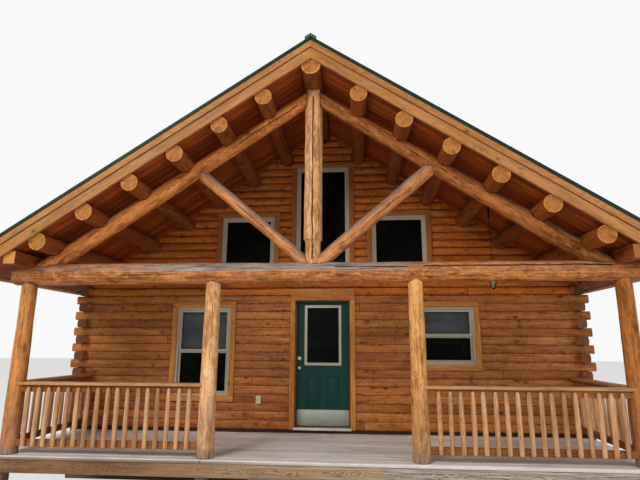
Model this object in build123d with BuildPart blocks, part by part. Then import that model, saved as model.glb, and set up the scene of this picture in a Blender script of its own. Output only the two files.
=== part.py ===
from build123d import *
import os
from math import sqrt

os.makedirs("parts", exist_ok=True)

# A log cabin with a full-width front porch under the main roof.
# Millimetres. X runs along the front, Y towards the back, Z up.
# Z = 0 is the ground, and the origin is under the middle of the whole building.
# Heights named "above the deck" are measured from the porch deck.

# Main sizes of the house
deck_height = 760.0
porch_depth = 1830.0
house_width = 8470.0
house_depth = 9000.0
wall_thickness = 150.0
sill_height = 50.0
foundation_thickness = 250.0
fit_gap = 0.3

# Log courses
course_height = 135.0
lower_courses = 16
side_courses = 18
wall_groove = 13.0
gable_groove = 26.0
log_end_reach = 118.0

# Roof
pitch_rise = 8.0
pitch_run = 12.0
soffit_peak = 5212.0
roof_half_width = 4380.0
rake_overhang = 520.0
roof_deck_depth = 235.0
eave_board_thickness = 38.0
rake_board_thickness = 38.0
rake_board_drop = 26.0
rake_trim_thickness = 19.0
rake_trim_height = 102.0
eave_drop = 20.0
sheet_thickness = 12.0
sheet_lip = 12.0
rib_height = 20.0
rib_width = 40.0
rib_pitch = 305.0
edge_rib_height = 40.0
edge_rib_width = 60.0
cap_half_width = 78.0
cap_height = 94.0

# Roof logs
purlin_diameter = 228.0
purlin_flat = 6.0
purlin_first_x = 640.0
purlin_spacing = 587.0
purlin_count = 6
purlin_lap = 95.0
ridge_diameter = 270.0
ridge_height = 178.0
ridge_gap = 72.0
eave_plate_x = 3925.0
eave_plate_width = 155.0
eave_plate_bottom = 2410.0
eave_plate_top = 2575.0

# Porch truss
outer_post_x = 3960.0
inner_post_x = 1350.0
post_base_diameter = 228.0
post_top_diameter = 196.0
post_saddle = 55.0
tie_left_diameter = 302.0
tie_right_diameter = 262.0
tie_height = 2336.0
tie_half_length = 4165.0
king_foot_diameter = 210.0
king_foot_top = 2775.0
king_base_diameter = 256.0
king_top_diameter = 244.0
king_flat_x = 95.0
king_shoulder = 4712.0
king_saddle = 45.0
rafter_top_diameter = 192.0
rafter_foot_diameter = 262.0
rafter_saddle = 45.0
strut_foot_height = 2390.0
strut_head_x = 1665.0
left_strut_diameter = 138.0
right_strut_diameter = 188.0

# Porch deck, its frame and the steps
deck_half_width = 4150.0
deck_front = 135.0
deck_thickness = 42.0
rim_thickness = 38.0
rim_height = 165.0
rim_setback = 25.0
joist_count = 13
pier_width = 140.0
step_count = 3
step_width = 1500.0
step_run = 280.0
step_thickness = 40.0
step_nosing = 20.0
stringer_thickness = 45.0

# Railings
rail_cap_width = 140.0
rail_cap_thickness = 38.0
rail_cap_top = 900.0
rail_front_face = 96.0
sub_rail_thickness = 38.0
sub_rail_height = 89.0
lower_rail_bottom = 97.0
baluster_diameter = 64.0
baluster_bottom = 104.0
baluster_top = 838.0
baluster_pitch = 135.0
front_baluster_count = 17
side_baluster_count = 12
baluster_let_in = 7.0
rail_end_lap = 30.0

# Front door, hinged on the right as seen from the porch and opening inwards
door_width = 914.0
door_leaf_height = 2032.0
door_thickness = 44.0
door_sill = 93.0
door_gap = 5.0
jamb_thickness = 28.0
stop_thickness = 14.0
stop_depth = 30.0
sill_nose_half_width = 472.0
sill_nose_depth = 56.0
sill_nose_bottom = 46.0
sill_nose_top = 84.0
door_casing_width = 82.0
door_casing_height = 193.0
casing_thickness = 24.0
lite_width = 622.0
lite_height = 1000.0
lite_bottom = 1053.0
lite_frame_width = 32.0
lite_frame_proud = 9.0
panel_width = 237.0
panel_height = 524.0
panel_bottom = 370.0
panel_offset_x = 168.0
panel_depth = 7.0
kick_width = 868.0
kick_height = 248.0
kick_thickness = 2.0
knob_x = -394.0
knob_height = 1010.0
bolt_height = 1168.0
hinge_pin_radius = 5.0
hinge_barrel_radius = 8.5
hinge_length = 100.0
hinge_knuckle = 40.0
hinge_offset = 9.5
hinge_plate = 3.0
hinge_heights = (250.0, 1000.0, 1850.0)

# Windows
window_width = 928.0
window_head = 2010.0
window_x = 2035.0
tall_window_height = 1450.0
short_window_height = 930.0
gable_window_sill = 2685.0
gable_window_x = 1318.0
gable_side_height = 914.0
gable_middle_height = 1826.0
frame_bar = 72.0
frame_depth = 85.0
frame_proud = 8.0
meeting_rail = 52.0
glass_thickness = 8.0
glass_setback = 40.0
window_casing_width = 90.0
side_window_offset = 2700.0

# Porch lantern on its stem
lantern_x = 2610.0
lantern_y = 950.0
lantern_stem_diameter = 9.0
lantern_mount_diameter = 30.0
lantern_mount_length = 200.0
lantern_top = 2450.0
lantern_bottom = 2200.0
lantern_radius = 64.0

# Outlet cover on the front wall
outlet_x = -1056.0
outlet_bottom = 434.0
outlet_width = 88.0
outlet_height = 134.0
outlet_depth = 26.0

# Places worked out from the sizes above
slope = pitch_rise / pitch_run
slope_length = sqrt(pitch_rise**2 + pitch_run**2)
slope_cos = pitch_run / slope_length
slope_sin = pitch_rise / slope_length

steps_reach = deck_front - rim_setback + step_count * step_run + step_nosing
roof_reach = rake_overhang + rake_board_thickness + rake_trim_thickness + sheet_lip
front_reach = max(steps_reach, roof_reach)
back_reach = porch_depth + house_depth + roof_reach
truss_y = (front_reach - back_reach) / 2.0

front_y = truss_y + porch_depth
back_y = front_y + house_depth
front_inner_y = front_y + wall_thickness
back_inner_y = back_y - wall_thickness
side_x = house_width / 2.0
side_inner_x = side_x - wall_thickness
roof_front_y = truss_y - rake_overhang
roof_back_y = back_y + rake_overhang
roof_length = roof_back_y - roof_front_y

wall_bottom = deck_height + sill_height
lower_top = wall_bottom + lower_courses * course_height
peak_z = deck_height + soffit_peak
tie_z = deck_height + tie_height
gable_courses = int((peak_z - lower_top) / course_height) + 1

purlin_radius = purlin_diameter / 2.0
purlin_drop = (purlin_radius - purlin_flat) / slope_cos
tie_diameter = (tie_left_diameter + tie_right_diameter) / 2.0
rafter_diameter = (rafter_top_diameter + rafter_foot_diameter) / 2.0
rafter_depth = 2.0 * purlin_radius - purlin_flat - purlin_lap + rafter_diameter / 2.0
rafter_drop = rafter_depth / slope_cos
ridge_radius = ridge_diameter / 2.0
ridge_top = peak_z - ridge_gap
ridge_z = ridge_top - ridge_height + ridge_radius
door_bottom = deck_height + door_sill
opening_half_width = door_width / 2.0 + door_gap + jamb_thickness
opening_top = lower_top
hinge_x = door_width / 2.0 + door_gap / 2.0
hinge_y = front_inner_y + hinge_offset


def soffit_z(x):
    """Height of the underside of the roof boards at a distance x from the ridge."""
    return peak_z - slope * abs(x)


def purlin_places(side):
    """Centres of one side's purlins as (x, z)."""
    places = []
    for number in range(purlin_count):
        x = purlin_first_x + number * purlin_spacing
        places.append((side * x, soffit_z(x) - purlin_drop))
    return places


def soffit_plane(side):
    """The underside of the roof boards on one side, facing up and out."""
    return Plane(origin=(0, 0, peak_z), z_dir=(side * slope_sin, 0, slope_cos))


def trim_to_roof(sides=(-1, 1)):
    """Cut what stands above the underside of the roof boards."""
    for side in sides:
        split(bisect_by=soffit_plane(side), keep=Keep.BOTTOM)


def log_along_y(x, z, radius, y_start, y_end, mode=Mode.ADD):
    """A round log running front to back."""
    with BuildSketch(Plane(origin=(x, y_start, z), z_dir=(0, 1, 0), x_dir=(1, 0, 0))) as end:
        Circle(radius)
    extrude(end.sketch, amount=y_end - y_start, mode=mode)


def tie_radius(x):
    """Radius of the tapering tie beam at a distance x to the right of its middle."""
    return (tie_diameter + (tie_right_diameter - tie_left_diameter) * x / (2.0 * tie_half_length)) / 2.0


def tie_log(half_length, gap=0.0):
    """The tapering round tie beam, or the room it takes up in another log."""
    with BuildSketch(Plane(origin=(-half_length, truss_y, tie_z), z_dir=(1, 0, 0), x_dir=(0, 1, 0))) as start:
        Circle(tie_radius(-half_length) + gap)
    with BuildSketch(Plane(origin=(half_length, truss_y, tie_z), z_dir=(1, 0, 0), x_dir=(0, 1, 0))) as end:
        Circle(tie_radius(half_length) + gap)
    loft([start.sketch.face(), end.sketch.face()], mode=Mode.SUBTRACT if gap else Mode.ADD)


def cut_tie_seat():
    """Hollow out the round seat of the tie beam."""
    tie_log(house_width, fit_gap)


def log_faces(first, last, groove):
    """Stacked log sections: flat inside, rounded outside, the crest at local x = 0."""
    with BuildLine() as outline:
        bottom = first * course_height
        top = last * course_height
        Line((-groove, bottom), (-wall_thickness, bottom))
        Line((-wall_thickness, bottom), (-wall_thickness, top))
        Line((-wall_thickness, top), (-groove, top))
        for course in range(last - 1, first - 1, -1):
            low = course * course_height
            ThreePointArc((-groove, low + course_height), (0, low + course_height / 2.0), (-groove, low))
    make_face(outline.edges())


def wall_plane(x, y, outward, z=wall_bottom):
    """A plane across a wall whose local x points outwards and local y points up."""
    along = Vector(*outward).cross(Vector(0, 0, 1))
    return Plane(origin=(x, y, z), x_dir=outward, z_dir=along)


def log_run(plane, length, first, last, groove):
    """A length of wall made of whole log courses."""
    with BuildSketch(plane) as end:
        log_faces(first, last, groove)
    extrude(end.sketch, amount=length)


def log_ends(plane, length, courses, groove):
    """The ends of alternate logs that run on past a corner."""
    with BuildSketch(plane) as ends:
        for course in courses:
            log_faces(course, course + 1, groove)
    extrude(ends.sketch, amount=length)


def cut_box(x_size, y_size, z_size, x, y, z):
    """Cut a box out of the part, given its middle in x and y and its bottom in z."""
    with Locations((x, y, z + z_size / 2.0)):
        Box(x_size, y_size, z_size, mode=Mode.SUBTRACT)


def add_box(x_from, x_to, y_from, y_to, z_from, z_to):
    """Add a box between two corners."""
    with Locations(((x_from + x_to) / 2.0, (y_from + y_to) / 2.0, (z_from + z_to) / 2.0)):
        Box(x_to - x_from, y_to - y_from, z_to - z_from)


def cut_purlin_notches(y):
    """Notch a wall, or the boards on it, round the purlins that pass through."""
    reach = 2.0 * wall_thickness
    for x, z in purlin_places(-1) + purlin_places(1):
        log_along_y(x, z, purlin_radius + fit_gap, y - reach, y + reach, Mode.SUBTRACT)


def save(builder, label):
    """Name a finished sub-part and write it out."""
    builder.part.label = label
    export_step(builder.part, f"parts/{label}.step")


passing = [course for course in range(lower_courses) if course % 2 == 1]
side_passing = [course for course in range(side_courses - 1) if course % 2 == 0]
end_reach_total = wall_thickness + log_end_reach

# The windows: (middle along the wall, sill above the deck, height)
tall_sill = window_head - tall_window_height
short_sill = window_head - short_window_height
left_front_window = (-window_x, tall_sill, tall_window_height)
right_front_window = (window_x, short_sill, short_window_height)
gable_windows = [
    (-gable_window_x, gable_window_sill, gable_side_height),
    (0.0, gable_window_sill, gable_middle_height),
    (gable_window_x, gable_window_sill, gable_side_height),
]
back_windows = [
    (-window_x, tall_sill, tall_window_height),
    (window_x, tall_sill, tall_window_height),
]
middle_y = (front_y + back_y) / 2.0
side_windows = [
    (middle_y - side_window_offset, tall_sill, tall_window_height),
    (middle_y, tall_sill, tall_window_height),
    (middle_y + side_window_offset, tall_sill, tall_window_height),
]

# Foundation wall round the house
with BuildPart() as foundation_wall:
    with BuildSketch():
        with Locations((0, middle_y)):
            Rectangle(house_width, house_depth)
            Rectangle(
                house_width - 2.0 * foundation_thickness,
                house_depth - 2.0 * foundation_thickness,
                mode=Mode.SUBTRACT,
            )
    extrude(amount=deck_height)
save(foundation_wall, "foundation_wall")

# Sill beam under the first course
with BuildPart() as sill_beam:
    with BuildSketch(Plane.XY.offset(deck_height)):
        with Locations((0, middle_y)):
            Rectangle(house_width, house_depth)
            Rectangle(
                house_width - 2.0 * wall_thickness,
                house_depth - 2.0 * wall_thickness,
                mode=Mode.SUBTRACT,
            )
    extrude(amount=sill_height)
save(sill_beam, "sill_beam")

# House floor inside the sill
with BuildPart() as house_floor:
    with BuildSketch(Plane.XY.offset(deck_height)):
        with Locations((0, middle_y)):
            Rectangle(house_width - 2.0 * wall_thickness, house_depth - 2.0 * wall_thickness)
    extrude(amount=sill_height)
save(house_floor, "house_floor")


def front_wall_piece(side, window):
    """The lower front wall on one side of the doorway, with its window opening."""
    with BuildPart() as piece:
        length = side_inner_x - opening_half_width
        start = side_inner_x if side > 0 else -opening_half_width
        log_run(wall_plane(start, front_y, (0, -1, 0)), length, 0, lower_courses, wall_groove)
        end = side_inner_x + end_reach_total if side > 0 else -side_inner_x
        log_ends(wall_plane(end, front_y, (0, -1, 0)), end_reach_total, passing, wall_groove)
        x, sill, height = window
        cut_box(window_width, 3.0 * wall_thickness, height, x, front_y, deck_height + sill)
    return piece


front_wall_left = front_wall_piece(-1, left_front_window)
save(front_wall_left, "front_wall_left")
front_wall_right = front_wall_piece(1, right_front_window)
save(front_wall_right, "front_wall_right")


def gable_wall_piece(y, outward):
    """A gable wall above the lower courses, notched over the purlins and the ridge log."""
    with BuildPart() as piece:
        side = -outward[1]
        start = wall_plane(side * side_inner_x, y, outward, lower_top)
        log_run(start, 2.0 * side_inner_x, 0, gable_courses, gable_groove)
        for end in (side * (side_inner_x + end_reach_total), -side * side_inner_x):
            log_ends(wall_plane(end, y, outward, lower_top), end_reach_total, [1], gable_groove)
        trim_to_roof()
        for x, sill, height in gable_windows:
            cut_box(window_width, 3.0 * wall_thickness, height, x, y, deck_height + sill)
        cut_purlin_notches(y)
        reach = 2.0 * wall_thickness
        log_along_y(0, ridge_z, ridge_radius + fit_gap, y - reach, y + reach, Mode.SUBTRACT)
        with BuildSketch(Plane.XZ.offset(-(y + reach))):
            with Locations((0, ridge_top + ridge_gap)):
                Rectangle(2.0 * ridge_gap / slope, 2.0 * ridge_gap)
        extrude(amount=2.0 * reach, mode=Mode.SUBTRACT)
    return piece


front_gable_wall = gable_wall_piece(front_y, (0, -1, 0))
save(front_gable_wall, "front_gable_wall")
back_gable_wall = gable_wall_piece(back_y, (0, 1, 0))
save(back_gable_wall, "back_gable_wall")

# Lower back wall
with BuildPart() as back_wall:
    back_out = (0, 1, 0)
    log_run(wall_plane(-side_inner_x, back_y, back_out), 2.0 * side_inner_x, 0, lower_courses, wall_groove)
    for end in (-side_inner_x - end_reach_total, side_inner_x):
        log_ends(wall_plane(end, back_y, back_out), end_reach_total, passing, wall_groove)
    for x, sill, height in back_windows:
        cut_box(window_width, 3.0 * wall_thickness, height, x, back_y, deck_height + sill)
save(back_wall, "back_wall")


def side_wall_piece(side):
    """A side wall whose even courses run on past the front and back corners."""
    outward = (side, 0, 0)
    with BuildPart() as piece:
        length = back_inner_y - front_inner_y
        start = back_inner_y if side > 0 else front_inner_y
        log_run(wall_plane(side * side_x, start, outward), length, 0, side_courses, wall_groove)
        if side > 0:
            starts = (front_inner_y, back_inner_y + end_reach_total)
        else:
            starts = (front_inner_y - end_reach_total, back_inner_y)
        for start in starts:
            log_ends(wall_plane(side * side_x, start, outward), end_reach_total, side_passing, wall_groove)
        trim_to_roof((side,))
        for y, sill, height in side_windows:
            cut_box(3.0 * wall_thickness, window_width, height, side * side_x, y, deck_height + sill)
    return piece


left_wall = side_wall_piece(-1)
save(left_wall, "left_wall")
right_wall = side_wall_piece(1)
save(right_wall, "right_wall")

# Porch deck, one layer of boards with its nosing at the front
with BuildPart() as porch_deck:
    add_box(
        -deck_half_width,
        deck_half_width,
        truss_y - deck_front,
        front_y,
        deck_height - deck_thickness,
        deck_height,
    )
save(porch_deck, "porch_deck")

# Frame under the deck: rim boards and joists
rim_front_y = truss_y - deck_front + rim_setback
rim_top = deck_height - deck_thickness
rim_bottom = rim_top - rim_height
rim_half_width = deck_half_width - rim_setback
with BuildPart() as deck_frame:
    add_box(-rim_half_width, rim_half_width, rim_front_y, rim_front_y + rim_thickness, rim_bottom, rim_top)
    add_box(-rim_half_width, rim_half_width, front_y - rim_thickness, front_y, rim_bottom, rim_top)
    joist_step = (2.0 * rim_half_width - rim_thickness) / (joist_count - 1)
    for number in range(joist_count):
        x = -rim_half_width + number * joist_step
        add_box(x, x + rim_thickness, rim_front_y, front_y, rim_bottom, rim_top)
save(deck_frame, "deck_frame")

# Piers below the posts, bearing the front rim board
with BuildPart() as porch_piers:
    pier_front = rim_front_y - (pier_width - rim_thickness) / 2.0
    half = pier_width / 2.0
    for x in (-outer_post_x, -inner_post_x, inner_post_x, outer_post_x):
        add_box(x - half, x + half, pier_front, pier_front + pier_width, 0, rim_bottom)
save(porch_piers, "porch_piers")

# Entry steps up to the gap between the middle posts
step_rise = deck_height / (step_count + 1)
with BuildPart() as entry_steps:
    for x in (-step_width / 2.0, -stringer_thickness / 2.0, step_width / 2.0 - stringer_thickness):
        with BuildSketch(Plane(origin=(x, 0, 0), z_dir=(1, 0, 0), x_dir=(0, 1, 0))):
            with BuildLine():
                corners = [(rim_front_y, 0.0), (rim_front_y, step_rise * step_count - step_thickness)]
                for number in range(step_count, 0, -1):
                    near = rim_front_y - (step_count + 1 - number) * step_run
                    corners.append((near, step_rise * number - step_thickness))
                    corners.append((near, step_rise * (number - 1) - step_thickness))
                corners[-1] = (corners[-1][0], 0.0)
                Polyline(*corners, close=True)
            make_face()
        extrude(amount=stringer_thickness)
    for number in range(1, step_count + 1):
        back = rim_front_y - (step_count - number) * step_run
        add_box(
            -step_width / 2.0,
            step_width / 2.0,
            back - step_run - step_nosing,
            back,
            step_rise * number - step_thickness,
            step_rise * number,
        )
save(entry_steps, "entry_steps")


def post_solid(x, gap=0.0):
    """A tapering round post standing on the deck."""
    head_z = tie_z - tie_radius(x) + post_saddle
    with BuildSketch(Plane(origin=(x, truss_y, deck_height), z_dir=(0, 0, 1))) as base:
        Circle(post_base_diameter / 2.0 + gap)
    with BuildSketch(Plane(origin=(x, truss_y, head_z), z_dir=(0, 0, 1))) as head:
        Circle(post_top_diameter / 2.0 + gap)
    loft([base.sketch.face(), head.sketch.face()], mode=Mode.SUBTRACT if gap else Mode.ADD)


def porch_post(x):
    """A porch post with a saddle for the tie beam."""
    with BuildPart() as post:
        post_solid(x)
        cut_tie_seat()
    return post


posts = {
    "left_outer_post": -outer_post_x,
    "left_inner_post": -inner_post_x,
    "right_inner_post": inner_post_x,
    "right_outer_post": outer_post_x,
}
for post_name, post_x in posts.items():
    save(porch_post(post_x), post_name)

# Tie beam across the posts, its ends trimmed to the roof
with BuildPart() as tie_beam:
    tie_log(tie_half_length)
    trim_to_roof()
save(tie_beam, "tie_beam")


def rafter_log_solid(side, gap=0.0):
    """The tapering log of one principal rafter, longer than needed at both ends."""
    uphill = (-side * slope_cos, 0, slope_sin)
    foot_x = side * (tie_half_length + rafter_diameter)
    foot_z = soffit_z(foot_x) - rafter_drop
    top_z = soffit_z(0) - rafter_drop
    foot_plane = Plane(origin=(foot_x, truss_y, foot_z), z_dir=uphill, x_dir=(0, 1, 0))
    top_plane = Plane(origin=(0, truss_y, top_z), z_dir=uphill, x_dir=(0, 1, 0))
    with BuildSketch(foot_plane) as foot:
        Circle(rafter_foot_diameter / 2.0 + gap)
    with BuildSketch(top_plane) as top:
        Circle(rafter_top_diameter / 2.0 + gap)
    loft([foot.sketch.face(), top.sketch.face()], mode=Mode.SUBTRACT if gap else Mode.ADD)


king_bottom = tie_z + tie_diameter / 2.0 - king_saddle
king_top = ridge_z - ridge_radius + king_saddle

# King post between the tie beam and the ridge log, narrowed for the struts and the rafters
with BuildPart() as king_post:
    with BuildSketch(Plane(origin=(0, truss_y, deck_height + king_foot_top), z_dir=(0, 0, 1))):
        Circle(king_base_diameter / 2.0)
    with BuildSketch(Plane(origin=(0, truss_y, king_top), z_dir=(0, 0, 1))):
        Circle(king_top_diameter / 2.0)
    loft()
    with BuildSketch(Plane(origin=(0, truss_y, king_bottom), z_dir=(0, 0, 1))) as king_foot:
        Circle(king_foot_diameter / 2.0)
    extrude(king_foot.sketch, amount=deck_height + king_foot_top - king_bottom)
    cut_tie_seat()
    reach = king_base_diameter
    log_along_y(0, ridge_z, ridge_radius + fit_gap, truss_y - reach, truss_y + reach, Mode.SUBTRACT)
    for side in (-1, 1):
        flat_bottom = deck_height + king_shoulder
        cut_box(
            2.0 * king_base_diameter,
            2.0 * king_base_diameter,
            king_top - flat_bottom + king_saddle,
            side * (king_flat_x + king_base_diameter),
            truss_y,
            flat_bottom,
        )
save(king_post, "king_post")


def rafter_log(side):
    """A principal rafter seated on the tie beam, butted to the king post, notched for purlins."""
    with BuildPart() as rafter:
        rafter_log_solid(side)
        split(bisect_by=Plane(origin=(side * king_flat_x, 0, 0), z_dir=(side, 0, 0)), keep=Keep.TOP)
        seat_z = tie_z + tie_diameter / 2.0 - rafter_saddle
        split(bisect_by=Plane(origin=(0, 0, seat_z), z_dir=(0, 0, 1)), keep=Keep.TOP)
        cut_tie_seat()
        reach = rafter_diameter
        for x, z in purlin_places(side):
            log_along_y(x, z, purlin_radius + fit_gap, truss_y - reach, truss_y + reach, Mode.SUBTRACT)
    return rafter


left_rafter_log = rafter_log(-1)
save(left_rafter_log, "left_rafter_log")
right_rafter_log = rafter_log(1)
save(right_rafter_log, "right_rafter_log")

strut_head_z = soffit_z(strut_head_x) - rafter_drop
strut_foot_z = deck_height + strut_foot_height


def strut(side, diameter):
    """A diagonal strut from the king post's foot to the underside of the rafter."""
    with BuildPart() as piece:
        along = (side * strut_head_x, 0, strut_head_z - strut_foot_z)
        length = sqrt(strut_head_x**2 + (strut_head_z - strut_foot_z) ** 2)
        with BuildSketch(Plane(origin=(0, truss_y, strut_foot_z), z_dir=along, x_dir=(0, 1, 0))):
            Circle(diameter / 2.0)
        extrude(amount=length)
        rafter_log_solid(side, fit_gap)
        cut_tie_seat()
        with BuildSketch(Plane(origin=(0, truss_y, 0), z_dir=(0, 0, 1))) as foot:
            Circle(king_foot_diameter / 2.0 + fit_gap)
        extrude(foot.sketch, amount=deck_height + king_shoulder, mode=Mode.SUBTRACT)
        body_z = deck_height + king_foot_top - fit_gap
        with BuildSketch(Plane(origin=(0, truss_y, body_z), z_dir=(0, 0, 1))) as body:
            Circle(king_base_diameter / 2.0 + fit_gap)
        extrude(body.sketch, amount=king_shoulder - king_foot_top, mode=Mode.SUBTRACT)
        above_tie = Plane(origin=(0, 0, tie_z + tie_diameter / 4.0), z_dir=(0, 0, 1))
        split(bisect_by=above_tie, keep=Keep.TOP)
    return piece


left_strut = strut(-1, left_strut_diameter)
save(left_strut, "left_strut")
right_strut = strut(1, right_strut_diameter)
save(right_strut, "right_strut")

# Ridge log, sawn flat on top
with BuildPart() as ridge_log:
    log_along_y(0, ridge_z, ridge_radius, roof_front_y, roof_back_y)
    split(bisect_by=Plane(origin=(0, 0, ridge_top), z_dir=(0, 0, 1)), keep=Keep.BOTTOM)
    trim_to_roof()
save(ridge_log, "ridge_log")

# Filler wedge between the ridge log's flat top and the roof boards
with BuildPart() as ridge_wedge:
    with BuildSketch(Plane.XZ.offset(-roof_back_y)):
        with BuildLine():
            half = ridge_gap / slope
            Polyline((-half, ridge_top), (half, ridge_top), (0, peak_z), close=True)
        make_face()
    extrude(amount=roof_length)
save(ridge_wedge, "ridge_wedge")


def purlins(side):
    """One side's purlins, and the squared eave plate over the porch."""
    with BuildPart() as logs:
        inner = side * (eave_plate_x - eave_plate_width / 2.0)
        outer = side * (eave_plate_x + eave_plate_width / 2.0)
        low = deck_height + eave_plate_bottom
        high = deck_height + eave_plate_top
        add_box(min(inner, outer), max(inner, outer), roof_front_y, front_y - fit_gap, low, high)
        cut_tie_seat()
        rafter_log_solid(side, fit_gap)
        for x, z in purlin_places(side):
            log_along_y(x, z, purlin_radius, roof_front_y, roof_back_y)
        trim_to_roof((side,))
    return logs


left_purlins = purlins(-1)
save(left_purlins, "left_purlins")
right_purlins = purlins(1)
save(right_purlins, "right_purlins")


def roof_slab(side, x_inner, x_outer, low, high, y_from, y_to):
    """A slab between two heights above the soffit line, with plumb ends."""
    with BuildSketch(Plane.XZ.offset(-y_to)) as end:
        with BuildLine():
            Polyline(
                (side * x_inner, soffit_z(x_inner) + low),
                (side * x_outer, soffit_z(x_outer) + low),
                (side * x_outer, soffit_z(x_outer) + high),
                (side * x_inner, soffit_z(x_inner) + high),
                close=True,
            )
        make_face()
    extrude(end.sketch, amount=y_to - y_from)


def roof_deck(side):
    """The roof boards and the build-up above them on one side."""
    with BuildPart() as deck:
        roof_slab(side, 0, roof_half_width, 0, roof_deck_depth, roof_front_y, roof_back_y)
    return deck


left_roof_deck = roof_deck(-1)
save(left_roof_deck, "left_roof_deck")
right_roof_deck = roof_deck(1)
save(right_roof_deck, "right_roof_deck")

metal_reach = rake_board_thickness + rake_trim_thickness + sheet_lip
metal_front_y = roof_front_y - metal_reach
metal_length = roof_length + 2.0 * metal_reach
metal_half_width = roof_half_width + eave_board_thickness + sheet_lip


def metal_roof(side):
    """A ribbed metal sheet with a taller rib along each rake."""
    top_z = peak_z + roof_deck_depth
    downhill = (side * slope_cos, 0, -slope_sin)
    across = (0, side, 0)
    start_y = metal_front_y if side > 0 else metal_front_y + metal_length
    plane = Plane(origin=(0, start_y, top_z), x_dir=across, z_dir=downhill)
    rib_count = int((metal_length - 2.0 * edge_rib_width) / rib_pitch)
    first = (metal_length - rib_count * rib_pitch) / 2.0
    with BuildPart() as roof:
        with BuildSketch(plane):
            with BuildLine():
                points = [(0, 0), (0, edge_rib_height), (edge_rib_width, edge_rib_height)]
                points.append((edge_rib_width, sheet_thickness))
                for number in range(rib_count + 1):
                    place = first + number * rib_pitch
                    if min(place, metal_length - place) < edge_rib_width + rib_width:
                        continue
                    points.append((place - rib_width / 2.0, sheet_thickness))
                    points.append((place - rib_width / 4.0, sheet_thickness + rib_height))
                    points.append((place + rib_width / 4.0, sheet_thickness + rib_height))
                    points.append((place + rib_width / 2.0, sheet_thickness))
                points.append((metal_length - edge_rib_width, sheet_thickness))
                points.append((metal_length - edge_rib_width, edge_rib_height))
                points.append((metal_length, edge_rib_height))
                points.append((metal_length, 0))
                Polyline(*points, close=True)
            make_face()
        extrude(amount=metal_half_width / slope_cos)
        split(bisect_by=Plane(origin=(0, 0, 0), z_dir=(side, 0, 0)), keep=Keep.TOP)
    return roof


left_metal_roof = metal_roof(-1)
save(left_metal_roof, "left_metal_roof")
right_metal_roof = metal_roof(1)
save(right_metal_roof, "right_metal_roof")

# Ridge cap over the ribs
with BuildPart() as ridge_cap:
    rib_top = peak_z + roof_deck_depth + (sheet_thickness + rib_height) / slope_cos
    with BuildSketch(Plane.XZ.offset(-(metal_front_y + metal_length))):
        with BuildLine():
            cap_peak = peak_z + roof_deck_depth + cap_height
            cap_side = rib_top - slope * cap_half_width
            Polyline(
                (0, rib_top),
                (cap_half_width, cap_side),
                (cap_half_width, cap_peak - slope * cap_half_width),
                (0, cap_peak),
                (-cap_half_width, cap_peak - slope * cap_half_width),
                (-cap_half_width, cap_side),
                close=True,
            )
        make_face()
    extrude(amount=metal_length)
    for y in (metal_front_y, metal_front_y + metal_length - edge_rib_width):
        for side in (-1, 1):
            middle_low = peak_z + roof_deck_depth
            middle_high = middle_low + edge_rib_height / slope_cos
            reach = 2.0 * cap_half_width
            with BuildSketch(Plane.XZ.offset(-(y + edge_rib_width))):
                with BuildLine():
                    Polyline(
                        (0, middle_low),
                        (side * reach, middle_low - slope * reach),
                        (side * reach, middle_high - slope * reach),
                        (0, middle_high),
                        close=True,
                    )
                make_face()
            extrude(amount=edge_rib_width, mode=Mode.SUBTRACT)
save(ridge_cap, "ridge_cap")


def rake_boards(inner_y, outward):
    """The rake board and its upper trim on both slopes of one gable end."""
    board_face = inner_y + outward * rake_board_thickness
    trim_face = board_face + outward * rake_trim_thickness
    outer_x = roof_half_width + eave_board_thickness
    trim_low = roof_deck_depth - rake_trim_height
    with BuildPart() as boards:
        for side in (-1, 1):
            y_from, y_to = sorted((inner_y, board_face))
            roof_slab(side, 0, outer_x, -rake_board_drop, roof_deck_depth, y_from, y_to)
            y_from, y_to = sorted((board_face, trim_face))
            roof_slab(side, 0, outer_x, trim_low, roof_deck_depth, y_from, y_to)
    return boards


front_rake_boards = rake_boards(roof_front_y, -1)
save(front_rake_boards, "front_rake_boards")
back_rake_boards = rake_boards(roof_back_y, 1)
save(back_rake_boards, "back_rake_boards")

# Eave boards along both low edges of the roof
with BuildPart() as eave_boards:
    for side in (-1, 1):
        outer_x = roof_half_width + eave_board_thickness
        roof_slab(side, roof_half_width, outer_x, -eave_drop, roof_deck_depth, roof_front_y, roof_back_y)
save(eave_boards, "eave_boards")

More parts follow.
